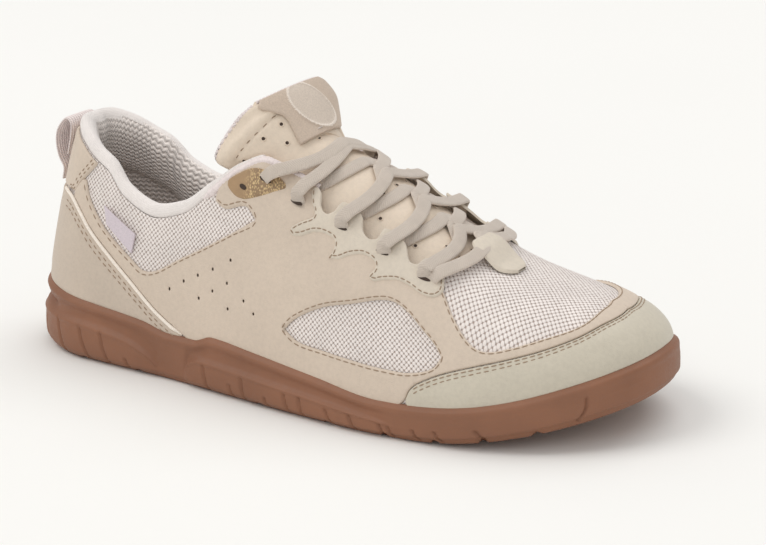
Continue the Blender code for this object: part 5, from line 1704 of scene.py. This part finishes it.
def lace_strap(parts, first, second, start, end, layer, dive_start=True):
    """Taut strap along or between bars; across, 1 is the ridge and 2 the medial feather line."""
    u = np.linspace(0, 1, 72)
    a = start + (end - start) * u
    s = (1 - u) * bar_station(first, a) + u * bar_station(second, a)
    t = np.minimum(a, 2 - a)
    lateral = (a <= 1)[:, None]
    base = np.where(lateral, upper(LATERAL, s, t), upper(MEDIAL, s, t))
    out = np.where(lateral, upper_normal(LATERAL, s, t), upper_normal(MEDIAL, s, t))
    least = -tongue_depth(s, t) + LACE_THICKNESS / 2 + 0.2 * MM + layer * MM
    lift = np.maximum(least, 2.5 * MM)
    lift[[0, -1]] = least[[0, -1]] + 0.1 * MM
    for _ in range(500):
        place = base + out * lift[:, None]
        pull = ((place[:-2] + place[2:]) / 2 - place[1:-1]) * out[1:-1]
        lift[1:-1] = np.maximum(lift[1:-1] + 0.9 * pull.sum(axis=1), least[1:-1])
    run = np.abs(end - start) * LACE_SPAN
    for way in (u, 1 - u) if dive_start else (1 - u,):
        lift = lift - LACE_DIVE * (1 - ease(way * run, 0.0, LACE_DIVE_RUN))
    ribbon(parts, base + out * lift[:, None], out, LACE_WIDTH, LACE_THICKNESS)


def build_lace():
    """Straight bars over crossed diagonals, the top strap and the bottom bar."""
    parts = Parts()
    for k in (1, 2, 3, 4):
        t = ANCHORS[k][1] - 0.033
        lace_strap(parts, k, k, t, 2 - t, 1.5)
    for k in (1, 2, 3):
        lace_strap(parts, k, k + 1, ANCHORS[k][1] + 0.05, 1.25, 0.0)
        lace_strap(parts, k + 1, k, 0.94, 1.27, 0.5, dive_start=False)
    lace_strap(parts, 5, 4, 0.95, 1.30, 0.4, dive_start=False)
    lace_strap(parts, 0, 1, ANCHORS[0][1] - 0.01, 1.22, 1.9)
    lace_strap(parts, 5, 5, ANCHORS[5][1] - 0.01, 2.01 - ANCHORS[5][1], 0.7)
    parts.made("lace_braided", [LACE], cad=["lace"], slot="lace_fabric")


def build_slots():
    """Dark slots that the lace goes down into."""
    parts = Parts()
    shape = circle((0, 0), 1.0, 20)
    for side in (LATERAL, MEDIAL):
        for k, place in enumerate(np.array(LACE_SLOTS) * SCALE):
            lift = QUARTER_TOP + PATCH + 0.1 * MM if k in (0, 5) else EYESTAY_LIFT + OVERLAY + 0.12 * MM
            half_length = SMALL_SLOT_HALF_LENGTH if k == 5 else SLOT_HALF_LENGTH
            ring = place + shape * (half_length, SLOT_HALF_WIDTH)
            parts.add(on_upper(side, ring, lift), [list(range(20))])
    parts.made("lace_slots", [SHADOW], slot="eyestay_leather")


def build_pull_loop():
    """Webbing loop that stands behind the heel."""
    points = [upper(LATERAL, 0.0, t).reshape(3) - (behind * MM, 0, 0) for t, behind in LOOP_LINE]
    path = refine(points, 90)
    along = np.gradient(path, axis=0)
    up = unit(np.stack([-along[:, 2], 0 * along[:, 0], along[:, 0]], 1))
    parts = Parts()
    middle = path + up * LOOP_THICKNESS / 2
    ribbon(parts, middle, up, LOOP_WIDTH, LOOP_THICKNESS, columns=14, edge_round=0.35)
    parts.made("pull_loop_webbing", [WEBBING], cad=["pull_loop"], slot="loop_webbing")


def vamp_point(x, y, lift):
    """Point over the vamp at a plan position, at a lift above the upper."""
    s, t = np.meshgrid(np.linspace(0.66, 1, 91), np.linspace(0.5, 1, 91))
    places = np.concatenate([upper(side, s, t, -lift).reshape(-1, 3) for side in (LATERAL, MEDIAL)])
    away = np.linalg.norm(places[:, :2] - (x, y), axis=1) + 0.05 * MM
    near = np.argsort(away)[:6]
    weight = 1 / away[near] ** 2
    return np.array((x, y, float(np.sum(places[near, 2] * weight) / np.sum(weight))))


def build_keeper():
    """Round-ended leather tab on the vamp that holds the bottom bar of the lace."""
    b = np.linspace(-1, 1, 25)
    outer = []
    inner = []
    for u in np.linspace(0, 1, 30):
        x = (KEEPER_START + 0.010 + (KEEPER_END - KEEPER_START - 0.010) * u) * SOLE_LENGTH
        half = KEEPER_WIDTH / 2 * rounded(1.02 - u, 0.55) * rounded(u + 0.08, 0.35)
        lift = 2 * GAP + (0.5 * OVERLAY + 1.8 * LACE_THICKNESS) * float(ease(-u, -0.75, -0.25))
        row = np.array([vamp_point(x, spine(x) - 2.5 * MM + step * half, lift) for step in b])
        rim = np.minimum(1 - np.abs(b) * 0.999, 2.0 * min(u + 0.02, 1.02 - u))
        height = 1.5 * MM * np.sqrt(1 - (1 - np.clip(rim / 0.16, 0, 1)) ** 2)
        inner.append(row)
        outer.append(row + height[:, None] * (0, 0, 1))
    parts = Parts()
    parts.grid(np.array(outer))
    parts.grid(np.array(inner), flip=True)
    parts.made("lace_keeper_leather", [PALE], cad=["lace_keeper"], slot="toe_leather")


def build_side_tag():
    """Small woven tag sewn into the counter seam, standing a little off the side."""
    a = np.linspace(0, 1, 24)[:, None, None]
    b = np.linspace(0, 1, 18)[None, :, None]
    corners = np.array(SIDE_TAG) * SCALE
    low = corners[0] + (corners[3] - corners[0]) * a
    high = corners[1] + (corners[2] - corners[1]) * a
    flat = low + (high - low) * b
    lift = 0.9 * MM + 1.3 * MM * b * (1 - 0.2 * a)
    outer, inner = [on_upper(LATERAL, flat.reshape(-1, 2), (lift - thick).ravel()).reshape(24, 18, 3)
                    for thick in (0.0, TAG_THICKNESS)]
    parts = Parts()
    parts.shell(outer, inner, flat)
    parts.made("side_tag_weave", [TAG], cad=["side_tag"], slot="tag_fabric")


build_lace()
build_slots()
build_pull_loop()
build_keeper()
build_side_tag()
